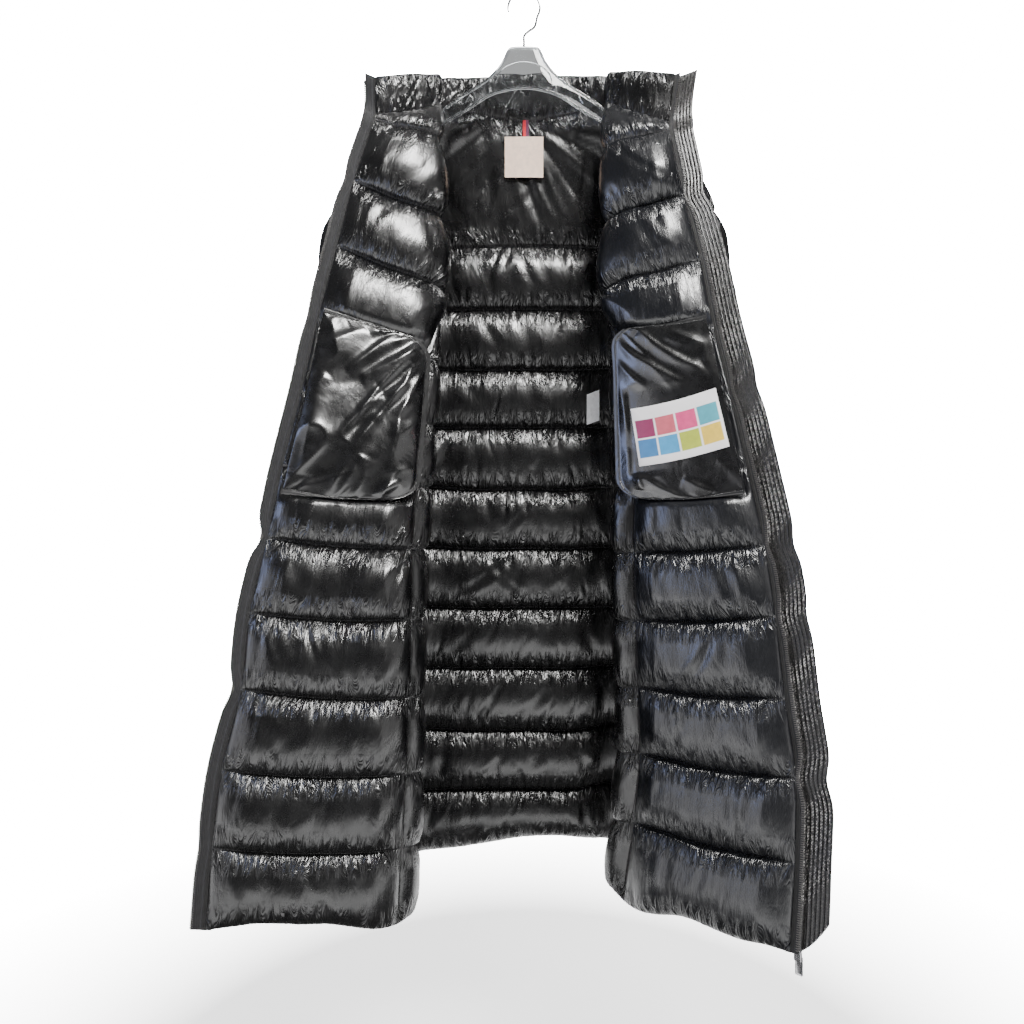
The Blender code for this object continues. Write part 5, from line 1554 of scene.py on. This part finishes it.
def lacquered_nylon(name, tint, roughness):
    """Black nylon with a lacquered face: fine gathers by the stitching, crinkles and sewn dashes."""
    make = Shader(
        name, Coat_Weight=0.30, Coat_Roughness=0.17, Specular_IOR_Level=0.75, IOR=1.5, Sheen_Weight=0.0
    )
    across, down, near = make.measures()
    place = make.place()
    lean = make.minus(make.grain((70.0, 9.0, 0.0), 1.0), 0.5)
    lean = make.times(lean, make.times(near, 2.6))
    fan = make.combined(make.times(make.plus(across, lean), 250.0), make.times(down, 20.0))
    ripple = make.maths("ABSOLUTE", make.minus(make.noise(fan, 1.0, 2.0, 0.5, 0.3), 0.5))
    pinched = make.ramp(ripple, 0.0, 0.16)
    streaks = make.times(pinched, make.ramp(near, 0.0, 0.028, 1.0, 0.03))
    hairs = make.grain((520.0, 48.0, 0.0), 2.0, 0.6, 0.6)
    hairs = make.times(hairs, make.ramp(near, 0.0, 0.030, 1.0, 0.25))
    creases = make.grain((58.0, 24.0, 0.0), 3.0, 0.5, 1.0)
    dash = make.dashes(across, 0.74)
    thread = make.times(make.ramp(near, 0.0004, 0.0009, 1.0, 0.0), dash)
    normal = make.bump(creases, 0.0012, 0.7)
    normal = make.bump(streaks, 0.0019, 0.9, normal)
    normal = make.bump(hairs, 0.0010, 0.8, normal)
    normal = make.bump(thread, 0.0006, 0.9, normal)
    rough = make.ramp(make.noise(place, 30.0, 3.0), 0.3, 0.7, roughness * 0.88, roughness * 1.18)
    rough = make.plus(rough, make.ramp(near, 0.0004, 0.0016, 0.30, 0.0))
    shade = make.mix(make.noise(place, 14.0, 3.0), tinted(tint, 0.6), colour(tint))
    shade = make.mix(thread, shade, colour(THREAD_TINT))
    return make.set(Base_Color=shade, Roughness=rough, Normal=normal, Coat_Normal=normal)


def pocket_film(name, tint):
    """Thin unquilted nylon: smooth, with sharp small crinkles and a stitched binding."""
    make = Shader(name, Coat_Weight=0.45, Coat_Roughness=0.13, Specular_IOR_Level=0.85, IOR=1.5)
    across, down, near = make.measures()
    place = make.place()
    crush = make.cells(place, 34.0)
    crush = make.plus(crush, make.times(make.cells(place, 75.0), 0.4))
    soft = make.noise(place, 22.0, 3.0, 0.5, 1.5)
    bound = make.ramp(near, BINDING - 0.0008, BINDING, 1.0, 0.0)
    dash = make.dashes(make.plus(across, down), 0.7)
    seam = make.line_at(near, BINDING - 0.0012, 0.0, 0.0006)
    thread = make.times(seam, dash)
    normal = make.bump(soft, 0.0016, 0.5)
    normal = make.bump(crush, 0.0005, 0.30, normal)
    normal = make.bump(thread, 0.0006, 0.8, normal)
    rough = make.ramp(make.noise(place, 60.0, 3.0), 0.3, 0.7, 0.22, 0.34)
    rough = make.plus(rough, make.times(bound, 0.10))
    shade = make.mix(make.noise(place, 20.0), tinted(tint, 0.7), colour(tint))
    return make.set(Base_Color=shade, Roughness=rough, Normal=normal, Coat_Normal=normal)


def woven(name, tint, roughness, thread, relief):
    """Plain woven tape or label cloth: two sets of threads and a little unevenness."""
    make = Shader(name, Sheen_Weight=0.25, Sheen_Roughness=0.5, Specular_IOR_Level=0.35)
    across, down, _ = make.measures()
    one = make.maths("SINE", make.times(across, 2 * pi / thread))
    two = make.maths("SINE", make.times(down, 2 * pi / thread))
    weave = make.plus(make.times(one, two), make.times(make.maths("ABSOLUTE", one), 0.4))
    height = make.ramp(weave, -1.2, 1.4)
    place = make.place()
    worn = make.ramp(make.noise(place, 160.0, 4.0), 0.3, 0.75)
    shade = make.mix(worn, tinted(tint, 0.75), colour(tint))
    shade = make.mix(make.times(height, 0.35), shade, tinted(tint, 1.5))
    normal = make.bump(height, relief, 0.8)
    rough = make.ramp(make.noise(place, 90.0), 0.3, 0.7, roughness - 0.08, roughness + 0.08)
    return make.set(Base_Color=shade, Roughness=rough, Normal=normal)


def tape_weave(name, tint):
    """Zip tape: woven lengthwise ribs, a painted black shadow by the front's edge and a stitched fold
    beside it with a painted highlight.
    """
    make = Shader(name, Sheen_Weight=0.2, Sheen_Roughness=0.5, Specular_IOR_Level=0.4)
    across, down, near = make.measures()
    ribs = make.maths("SINE", make.times(across, 2 * pi / 0.0021))
    picks = make.maths("SINE", make.times(down, 2 * pi / 0.0010))
    weave = make.plus(ribs, make.times(picks, 0.5))
    # seam is 0 from under the front's edge to about 3 mm past it, where the tape is painted black as the
    # front's shadow; fold marks a line painted lighter as a highlight
    seam = make.ramp(near, TAPE_HIDDEN + 0.0030, TAPE_HIDDEN + 0.0044, 0.0, 1.0)
    fold = make.line_at(near, TAPE_HIDDEN + 0.0056, 0.0003, 0.0009)
    place = make.place()
    worn = make.noise(place, 140.0, 4.0)
    shade = make.mix(make.ramp(worn, 0.3, 0.75), tinted(tint, 0.35), tinted(tint, 0.6))
    shade = make.mix(make.ramp(weave, -1.4, 1.4, 0.0, 0.6), shade, tinted(tint, 1.9))
    # painted highlight along the fold, then the painted black shadow by the front's edge
    shade = make.mix(make.times(fold, 0.6), shade, tinted(tint, 3.5))
    shade = make.mix(seam, colour((0.0004, 0.0004, 0.0004)), shade)
    height = make.plus(make.ramp(weave, -1.5, 1.5), make.times(fold, 1.5))
    normal = make.bump(height, 0.0004, 0.8)
    rough = make.ramp(worn, 0.3, 0.7, 0.58, 0.74)
    return make.set(Base_Color=shade, Roughness=rough, Normal=normal)


def placket_nylon(name, tint):
    """Placket cloth: slanting wrinkles across each row, glints where the stitching pulls, partly painted as
    pale dots on its stitch rows, and painted shade in its grooves.
    """
    make = Shader(name, Coat_Weight=0.20, Coat_Roughness=0.20, Specular_IOR_Level=0.6)
    across, down, near = make.measures()
    place = make.place()
    slanted = make.combined(
        make.times(make.plus(across, down), 620.0), make.times(make.minus(across, down), 130.0)
    )
    wrinkles = make.noise(slanted, 1.0, 2.0, 0.5, 0.4)
    pulled = make.ramp(make.grain((0.0, 13.0, 0.0), 2.0, 0.6), 0.44, 0.62)
    beside = make.ramp(near, 0.0004, 0.0016, 1.0, 0.0)
    glints = make.times(make.grain((700.0, 420.0, 0.0), 2.0, 0.6), beside)
    glints = make.times(glints, make.plus(make.times(pulled, 0.9), 0.25))
    normal = make.bump(wrinkles, 0.0003, 0.6)
    normal = make.bump(glints, 0.0050, 1.0, normal)
    dash = make.dashes(down, 0.7)
    thread = make.times(make.ramp(near, 0.0002, 0.0006, 1.0, 0.0), dash)
    normal = make.bump(thread, 0.0004, 0.8, normal)
    rough = make.ramp(make.noise(place, 120.0, 3.0), 0.3, 0.7, 0.30, 0.44)
    rough = make.minus(rough, make.times(beside, make.times(pulled, 0.20)))
    # painted shade: the cloth is painted nearly black in and beside each groove
    shade = make.mix(make.ramp(near, 0.0005, 0.0015), tinted(tint, 0.02), colour(tint))
    # painted glints: pale dots on the stitch rows, more of them where the stitching pulls, stand in for
    # light caught by the thread
    row = make.line_at(near, 0.0017, 0.0002, 0.0006)
    glint_spots = make.ramp(make.noise(place, 420.0, 2.0), 0.44, 0.60)
    glint_spots = make.times(glint_spots, make.plus(make.times(pulled, 0.95), 0.05))
    painted_glints = make.times(make.times(row, dash), glint_spots)
    shade = make.mix(painted_glints, shade, colour(PLACKET_THREAD_GLINT_TINT))
    return make.set(Base_Color=shade, Roughness=rough, Normal=normal, Coat_Normal=normal)


def striped_loop(name, one, two):
    """Hanging loop: woven tape, one colour beside the other."""
    make = Shader(name, Sheen_Weight=0.3, Sheen_Roughness=0.5, Specular_IOR_Level=0.35)
    across, down, _ = make.measures()
    side = make.ramp(across, 0.0040, 0.0044)
    thread = make.maths("SINE", make.times(make.plus(across, down), 2 * pi / 0.0007))
    shade = make.mix(side, colour(one), colour(two))
    shade = make.mix(make.ramp(thread, -1, 1, 0.0, 0.25), shade, tinted(one, 1.4))
    rough = make.ramp(make.noise(make.place(), 200.0), 0.3, 0.7, 0.5, 0.7)
    return make.set(Base_Color=shade, Roughness=rough, Normal=make.bump(thread, 0.0001, 0.8))


def printed_film(name, ground):
    """Printed satin patch: a pale ground with plain blocks of colour."""
    make = Shader(name, Specular_IOR_Level=0.5, Coat_Weight=0.15, Coat_Roughness=0.3)
    across, down, _ = make.measures()
    place = make.place()
    shade = make.mix(make.noise(place, 60.0), tinted(ground, 0.9), colour(ground))
    for block in PRINT_BLOCKS:
        inside = None
        for value, low, high in ((across, block.left, block.right), (down, block.top, block.bottom)):
            after = make.ramp(value, low - PRINT_BLUR, low + PRINT_BLUR)
            part = make.times(after, make.ramp(value, high - PRINT_BLUR, high + PRINT_BLUR, 1.0, 0.0))
            inside = part if inside is None else make.times(inside, part)
        worn = make.noise(place, 120.0, 4.0)
        worn = make.mix(worn, tinted(block.colour, 0.75), tinted(block.colour, 1.15))
        shade = make.mix(inside, shade, worn)
    weave = make.noise(place, 700.0, 2.0)
    rough = make.ramp(make.noise(place, 80.0), 0.3, 0.7, 0.38, 0.55)
    return make.set(Base_Color=shade, Roughness=rough, Normal=make.bump(weave, 0.0001, 0.6))


def clear_plastic(name, tint):
    """Clear moulded plastic with faint flow marks and handling scratches."""
    make = Shader(name, Transmission_Weight=1.0, IOR=1.47, Specular_IOR_Level=0.5)
    place = make.place()
    flow = make.noise(make.stretched(place, (30.0, 30.0, 8.0)), 1.0, 2.0)
    rough = make.ramp(make.noise(place, 90.0, 4.0), 0.35, 0.75, 0.0, 0.012)
    shade = make.mix(flow, colour(tint), tinted(tint, 1.03))
    return make.set(Base_Color=shade, Roughness=rough, Normal=make.bump(flow, 0.0001, 0.3))


def steel(name, tint, roughness):
    """Plated steel: fine drawing lines and a few dull spots."""
    make = Shader(name, Metallic=1.0)
    place = make.place()
    lines = make.noise(make.stretched(place, (900.0, 900.0, 60.0)), 1.0, 2.0)
    spots = make.ramp(make.noise(place, 260.0, 4.0), 0.55, 0.75)
    rough = make.plus(make.ramp(lines, 0.3, 0.7, roughness * 0.7, roughness * 1.3), make.times(spots, 0.12))
    shade = make.mix(spots, colour(tint), tinted(tint, 0.75))
    return make.set(Base_Color=shade, Roughness=rough, Normal=make.bump(lines, 0.00004, 0.5))


def teeth_plastic(name, tint):
    make = Shader(name, Specular_IOR_Level=0.5)
    place = make.place()
    worn = make.noise(place, 300.0, 3.0)
    rough = make.ramp(worn, 0.3, 0.7, 0.28, 0.50)
    shade = make.mix(worn, tinted(tint, 0.7), colour(tint))
    return make.set(Base_Color=shade, Roughness=rough, Normal=make.bump(worn, 0.0001, 0.4))


# ---- sizes and colours a user would change ----


class CoatSizes(bpy.types.PropertyGroup):
    cloth_pitch: FloatProperty(
        name="Cloth pitch", description="Spacing of the points on the quilted panels",
        default=0.0027, min=0.002, max=0.02, unit="LENGTH",
    )
    gather_depth: FloatProperty(
        name="Gather depth", description="Depth of the puckers beside the stitching",
        default=0.0015, min=0.0, max=0.006, unit="LENGTH",
    )
    fold_depth: FloatProperty(
        name="Fold depth", description="Depth of the longer creases across a channel",
        default=0.0008, min=0.0, max=0.008, unit="LENGTH",
    )
    unevenness: FloatProperty(
        name="Uneven filling", description="How much the filling varies along a channel",
        default=0.13, min=0.0, max=0.5, subtype="FACTOR",
    )


def tint_property(name, description, default):
    return FloatVectorProperty(
        name=name, description=description, subtype="COLOR", size=3, default=default, min=0.0, max=1.0
    )


class CoatColours(bpy.types.PropertyGroup):
    right_nylon: tint_property(
        "Right nylon", "Lacquered nylon of the right half, the back and the collar",
        (0.0022, 0.0022, 0.0026),
    )
    # the left front's nylon is tinted blue as a painted reflection of the surroundings
    left_nylon_painted_blue: tint_property("Left nylon", "Lacquered nylon of the left front", (0.0028, 0.0034, 0.0056))
    tape: tint_property("Zip tape", "Woven zip tape", (0.0055, 0.0055, 0.0065))
    placket: tint_property("Placket", "Stitched wind placket", (0.0060, 0.0056, 0.0054))
    label: tint_property("Neck label", "Woven satin neck label", (1.0, 0.68, 0.54))
    plastic: tint_property("Hanger", "Clear plastic of the hanger", (0.86, 0.88, 0.89))


def body_sides():
    """Both halves of the coat's body, worked out once."""
    if not SIDES:
        SIDES.append(BodySide(knot_tables(RIGHT_FRONT, RIGHT_HIDDEN, -1)))
        SIDES.append(BodySide(knot_tables(LEFT_FRONT, LEFT_HIDDEN, 1)))
    return SIDES


SIDES = []


def tag(obj, node):
    """The piece stands for a node of the frame, whose part it hides."""
    if node:
        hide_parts(node)
    return obj


# ---- operators: one for each piece or group of like pieces ----


class COAT_OT_camera(bpy.types.Operator):
    """Place the camera that looks straight at the open coat"""

    bl_idname = "coat.camera"
    bl_label = "Camera"

    def execute(self, context):
        camera = bpy.data.cameras.new("coat_camera")
        camera.sensor_fit = "HORIZONTAL"
        camera.sensor_width = CAMERA_SENSOR
        camera.lens = CAMERA_LENS
        camera.shift_x, camera.shift_y = CAMERA_SHIFT
        camera.clip_start = 0.01
        obj = bpy.data.objects.new("coat_camera", camera)
        obj.location = CAMERA_PLACE
        obj.rotation_euler = (pi / 2, 0.0, 0.0)
        context.scene.collection.objects.link(obj)
        context.scene.camera = obj
        return {"FINISHED"}


class COAT_OT_body(bpy.types.Operator):
    """Build the fronts, the side panels and the back"""

    bl_idname = "coat.body"
    bl_label = "Fronts, sides and back"

    def execute(self, context):
        right, left = body_sides()
        colours, pitch = context.scene.coat_colours, context.scene.coat_sizes.cloth_pitch
        dark = lacquered_nylon("dark_lacquer", tuple(colours.right_nylon), DARK_ROUGHNESS)
        # same nylon on the left front, tinted blue as a painted reflection
        reflection_tinted = lacquered_nylon("lacquer_with_blue_reflection", tuple(colours.left_nylon_painted_blue), BLUE_ROUGHNESS)
        panels = (
            (make_front("quilted_front_right", right, 11, RIGHT_POCKET, -1, dark, pitch), "front_right"),
            (make_front("quilted_front_left", left, 12, LEFT_POCKET, 1, reflection_tinted, pitch), "front_left"),
            (make_side("quilted_side_right", right, 13, dark, pitch * SIDE_PITCH), "side_right"),
            (make_side("quilted_side_left", left, 14, dark, pitch * SIDE_PITCH), "side_left"),
            (make_back("quilted_back", right, left, 15, dark, pitch * BACK_PITCH), "back"),
        )
        for obj, node in panels:
            tag(obj, node)
        return {"FINISHED"}


class COAT_OT_collar(bpy.types.Operator):
    """Build the padded stand collar"""

    bl_idname = "coat.collar"
    bl_label = "Collar"

    def execute(self, context):
        right, left = body_sides()
        dark = bpy.data.materials["dark_lacquer"]
        obj = tag(make_collar("padded_collar", right, left, 21, dark), "collar")
        return {"FINISHED"}


class COAT_OT_sleeves(bpy.types.Operator):
    """Build both quilted sleeves behind the fronts"""

    bl_idname = "coat.sleeves"
    bl_label = "Sleeves"

    def execute(self, context):
        right, left = body_sides()
        dark = bpy.data.materials["dark_lacquer"]
        pitch = context.scene.coat_sizes.cloth_pitch * SLEEVE_PITCH
        for name, side, sign, seed in (("right", right, -1, 31), ("left", left, 1, 32)):
            obj = make_sleeve("quilted_sleeve_" + name, side, sign, seed, dark, pitch)
            tag(obj, "sleeve_" + name)
        return {"FINISHED"}


class COAT_OT_zip(bpy.types.Operator):
    """Build the zip tapes, their teeth and the pull tab, and finish the slider"""

    bl_idname = "coat.zip"
    bl_label = "Zip"

    def execute(self, context):
        right, left = body_sides()
        seam, top = neck_curve(right, left, 25)
        colours = context.scene.coat_colours
        tape = tape_weave("zip_tape_weave", tuple(colours.tape))
        teeth = teeth_plastic("zip_teeth", TOOTH_TINT)
        metal = steel("plated_steel", PLATED_TINT, 0.22)
        strips = (
            ("right", right, (seam[0], top[0]), 41, TAPE_WIDTH, RIGHT_NIPS),
            ("left", left, (seam[-1], top[-1]), 42, LEFT_TAPE_WIDTH, LEFT_NIPS),
        )
        for name, side, ends, seed, width, nips in strips:
            strip, edge, outward = make_tape("woven_tape_" + name, side, ends, seed, width, nips, tape)
            tag(strip, "zip_tape_" + name)
            row = tag(make_teeth("teeth_" + name, edge, outward, width, teeth), None)
        foot = zip_foot_frame(left)
        tag(make_pull(foot, metal), "zip_pull")
        slider = frame["nodes"]["slider"]
        slider.data.materials.clear()
        slider.data.materials.append(metal)
        return {"FINISHED"}


class COAT_OT_placket(bpy.types.Operator):
    """Build the stitched wind placket"""

    bl_idname = "coat.placket"
    bl_label = "Placket"

    def execute(self, context):
        right, left = body_sides()
        seam, top = neck_curve(right, left, 25)
        cloth = placket_nylon("placket_satin", tuple(context.scene.coat_colours.placket))
        obj = make_placket("stitched_placket", left, (seam[-1], top[-1]), 51, cloth)
        tag(obj, "placket")
        return {"FINISHED"}


class COAT_OT_pockets(bpy.types.Operator):
    """Build both inside pocket bags"""

    bl_idname = "coat.pockets"
    bl_label = "Pocket bags"

    def execute(self, context):
        right, left = body_sides()
        film = pocket_film("pocket_nylon", POCKET_TINT)
        one = make_pocket(
            "pocket_bag_right", right, RIGHT_POCKET, 61, RIGHT_POCKET_FOLDS,
            fan=0.0042, swell=0.0075, mat=film, patch=None,
        )
        two = make_pocket(
            "pocket_bag_left", left, LEFT_POCKET, 62, LEFT_POCKET_FOLDS,
            fan=0.0014, swell=0.0010, mat=film, patch=PATCH_PLACE,
        )
        tag(one, "pocket_right")
        tag(two, "pocket_left")
        return {"FINISHED"}


class COAT_OT_labels(bpy.types.Operator):
    """Build the neck label, the hanging loop, the care label and the printed patch"""

    bl_idname = "coat.labels"
    bl_label = "Labels and loop"

    def execute(self, context):
        left = body_sides()[1]
        satin = woven("label_satin", tuple(context.scene.coat_colours.label), 0.55, 0.0006, 0.0001)
        white = woven("care_satin", CARE_TINT, 0.5, 0.0005, 0.0001)
        striped = striped_loop("loop_tape", *LOOP_TINTS)
        label = label_sheet("woven_neck_label", NECK_LABEL, 40, 40, 0.0011, satin, hem=0.0022)
        tag(label, "neck_label")
        loop = label_sheet("loop_strap", HANGING_LOOP, 12, 30, 0.0006, striped)
        tag(loop, "hanging_loop")
        care = tag(label_sheet("care_tag", CARE_LABEL, 20, 40, 0.0009, white), "care_label")
        patch = make_printed_label(left, printed_film("printed_film", PRINT_GROUND))
        tag(patch, "printed_label")
        return {"FINISHED"}


class COAT_OT_hanger(bpy.types.Operator):
    """Build the clear hanger and its wire hook"""

    bl_idname = "coat.hanger"
    bl_label = "Hanger and hook"

    def execute(self, context):
        clear = clear_plastic("clear_acrylic", tuple(context.scene.coat_colours.plastic))
        web, *ridges = make_hanger(clear)
        tag(web, "hanger")
        for ridge in ridges:
            tag(ridge, None)
        tag(make_hook(steel("hook_steel", HOOK_TINT, 0.14)), "hook")
        return {"FINISHED"}


class COAT_OT_stage(bpy.types.Operator):
    """Set up the pale floor, the pale surroundings and the soft lights"""

    bl_idname = "coat.stage"
    bl_label = "Stage"

    def execute(self, context):
        for light in LIGHTS:
            lamp = bpy.data.lights.new(light.name, "AREA")
            lamp.shape, lamp.size, lamp.size_y = "RECTANGLE", light.width, light.height
            lamp.energy, lamp.color = light.power, light.tint
            obj = bpy.data.objects.new(light.name, lamp)
            obj.location = light.place
            aim = Vector(light.aim) - Vector(light.place)
            obj.rotation_euler = aim.to_track_quat("-Z", "Y").to_euler()
            obj.visible_camera = False
            context.scene.collection.objects.link(obj)
        bpy.ops.mesh.primitive_circle_add(
            vertices=96, radius=FLOOR_RADIUS, fill_type="NGON", location=(0, 0, FLOOR_HEIGHT)
        )
        floor = context.object
        floor.name = "floor"
        floor.data.materials.append(floor_finish())
        context.scene.world = surroundings()
        return {"FINISHED"}


def floor_finish():
    """Pale matte floor that fades out at its rim.

    Reflections see it glow bright far in front and behind, and dark between, where it is painted nearly
    black as shade under and in front of the coat."""
    make = Shader("pale_floor", Specular_IOR_Level=0.2, Emission_Strength=FLOOR_GLOW)
    place = make.place()
    shade = make.mix(make.noise(place, 3.0), colour((0.30, 0.30, 0.30)), colour((0.33, 0.33, 0.33)))
    radius = make.node("ShaderNodeVectorMath", {0: place}, operation="LENGTH").outputs["Value"]
    depth = make.node("ShaderNodeSeparateXYZ", {0: place}).outputs["Y"]
    in_front = make.ramp(depth, *FLOOR_FRONT, 1.0, 0.0)
    eye = make.node("ShaderNodeLightPath", {}).outputs["Is Camera Ray"]
    fade = make.ramp(radius, *FLOOR_FADE, 1.0, 0.0)
    fade = make.larger(fade, make.times(in_front, make.minus(1.0, eye)))
    beyond = make.larger(in_front, make.ramp(depth, *FLOOR_BEHIND))
    distance = make.ramp(depth, *FLOOR_FAR, 0.10, 1.0)
    bright = make.larger(make.times(beyond, distance), eye)
    glow = make.mix(bright, colour((0.02, 0.02, 0.02)), colour((1.0, 1.0, 1.0)))
    # painted shade: to all but the eye, the floor under and just in front of the coat is painted nearly
    # black
    shade = make.mix(make.larger(beyond, eye), colour((0.04, 0.04, 0.04)), shade)
    rough = make.ramp(make.noise(place, 8.0), 0.3, 0.7, 0.8, 0.9)
    return make.set(Base_Color=shade, Roughness=rough, Alpha=fade, Emission_Color=glow)


def surroundings():
    """Pale to the eye; as a light, bright above and below and dim at eye level."""
    world = bpy.data.worlds.new("studio")
    world.use_nodes = True
    tree = world.node_tree
    tree.nodes.clear()

    def add(kind, **values):
        made = tree.nodes.new(kind)
        for socket, value in values.items():
            made.inputs[socket].default_value = value
        return made

    white = (1.0, 1.0, 1.0, 1.0)
    seen = add("ShaderNodeBackground", Color=white, Strength=BACKDROP)
    lit = add("ShaderNodeBackground", Color=white, Strength=1.0)
    clear = add("ShaderNodeBackground", Color=white, Strength=SEEN_THROUGH)
    place, apart = add("ShaderNodeTexCoord"), add("ShaderNodeSeparateXYZ")
    height = add("ShaderNodeMapRange", **{"From Min": -1.0, "From Max": 1.0})
    ramp, path = add("ShaderNodeValToRGB"), add("ShaderNodeLightPath")
    mix, through = add("ShaderNodeMixShader"), add("ShaderNodeMixShader")
    out = add("ShaderNodeOutputWorld")
    stops = ramp.color_ramp.elements
    for stop, (position, value) in zip(stops, SKY[:2]):
        stop.position, stop.color = position, (value, value, value, 1.0)
    for position, value in SKY[2:]:
        stops.new(position).color = (value, value, value, 1.0)
    for source, target in (
        (place.outputs["Generated"], apart.inputs[0]),
        (apart.outputs["Z"], height.inputs["Value"]),
        (height.outputs["Result"], ramp.inputs["Fac"]),
        (ramp.outputs["Color"], lit.inputs["Color"]),
        (path.outputs["Is Camera Ray"], mix.inputs[0]),
        (lit.outputs[0], mix.inputs[1]),
        (seen.outputs[0], mix.inputs[2]),
        (path.outputs["Is Transmission Ray"], through.inputs[0]),
        (mix.outputs[0], through.inputs[1]),
        (clear.outputs[0], through.inputs[2]),
        (through.outputs[0], out.inputs["Surface"]),
    ):
        tree.links.new(source, target)
    return world


class COAT_PT_panel(bpy.types.Panel):
    bl_label = "Long puffer coat"
    bl_idname = "COAT_PT_panel"
    bl_space_type = "VIEW_3D"
    bl_region_type = "UI"
    bl_category = "Coat"

    def draw(self, context):
        for group in (context.scene.coat_sizes, context.scene.coat_colours):
            for name in group.__annotations__:
                self.layout.prop(group, name)
        for operator in OPERATORS:
            self.layout.operator(operator.bl_idname)


OPERATORS = (
    COAT_OT_camera, COAT_OT_body, COAT_OT_collar, COAT_OT_sleeves, COAT_OT_zip,
    COAT_OT_placket, COAT_OT_pockets, COAT_OT_labels, COAT_OT_hanger, COAT_OT_stage,
)
CLASSES = (CoatSizes, CoatColours, *OPERATORS, COAT_PT_panel)


def register():
    for cls in CLASSES:
        bpy.utils.register_class(cls)
    bpy.types.Scene.coat_sizes = PointerProperty(type=CoatSizes)
    bpy.types.Scene.coat_colours = PointerProperty(type=CoatColours)


def unregister():
    del bpy.types.Scene.coat_colours
    del bpy.types.Scene.coat_sizes
    for cls in reversed(CLASSES):
        bpy.utils.unregister_class(cls)


def main():
    register()
    for operator in OPERATORS:
        group, name = operator.bl_idname.split(".")
        if getattr(getattr(bpy.ops, group), name)() != {"FINISHED"}:
            raise RuntimeError(operator.bl_label + " did not finish")


if __name__ == "__main__":
    main()
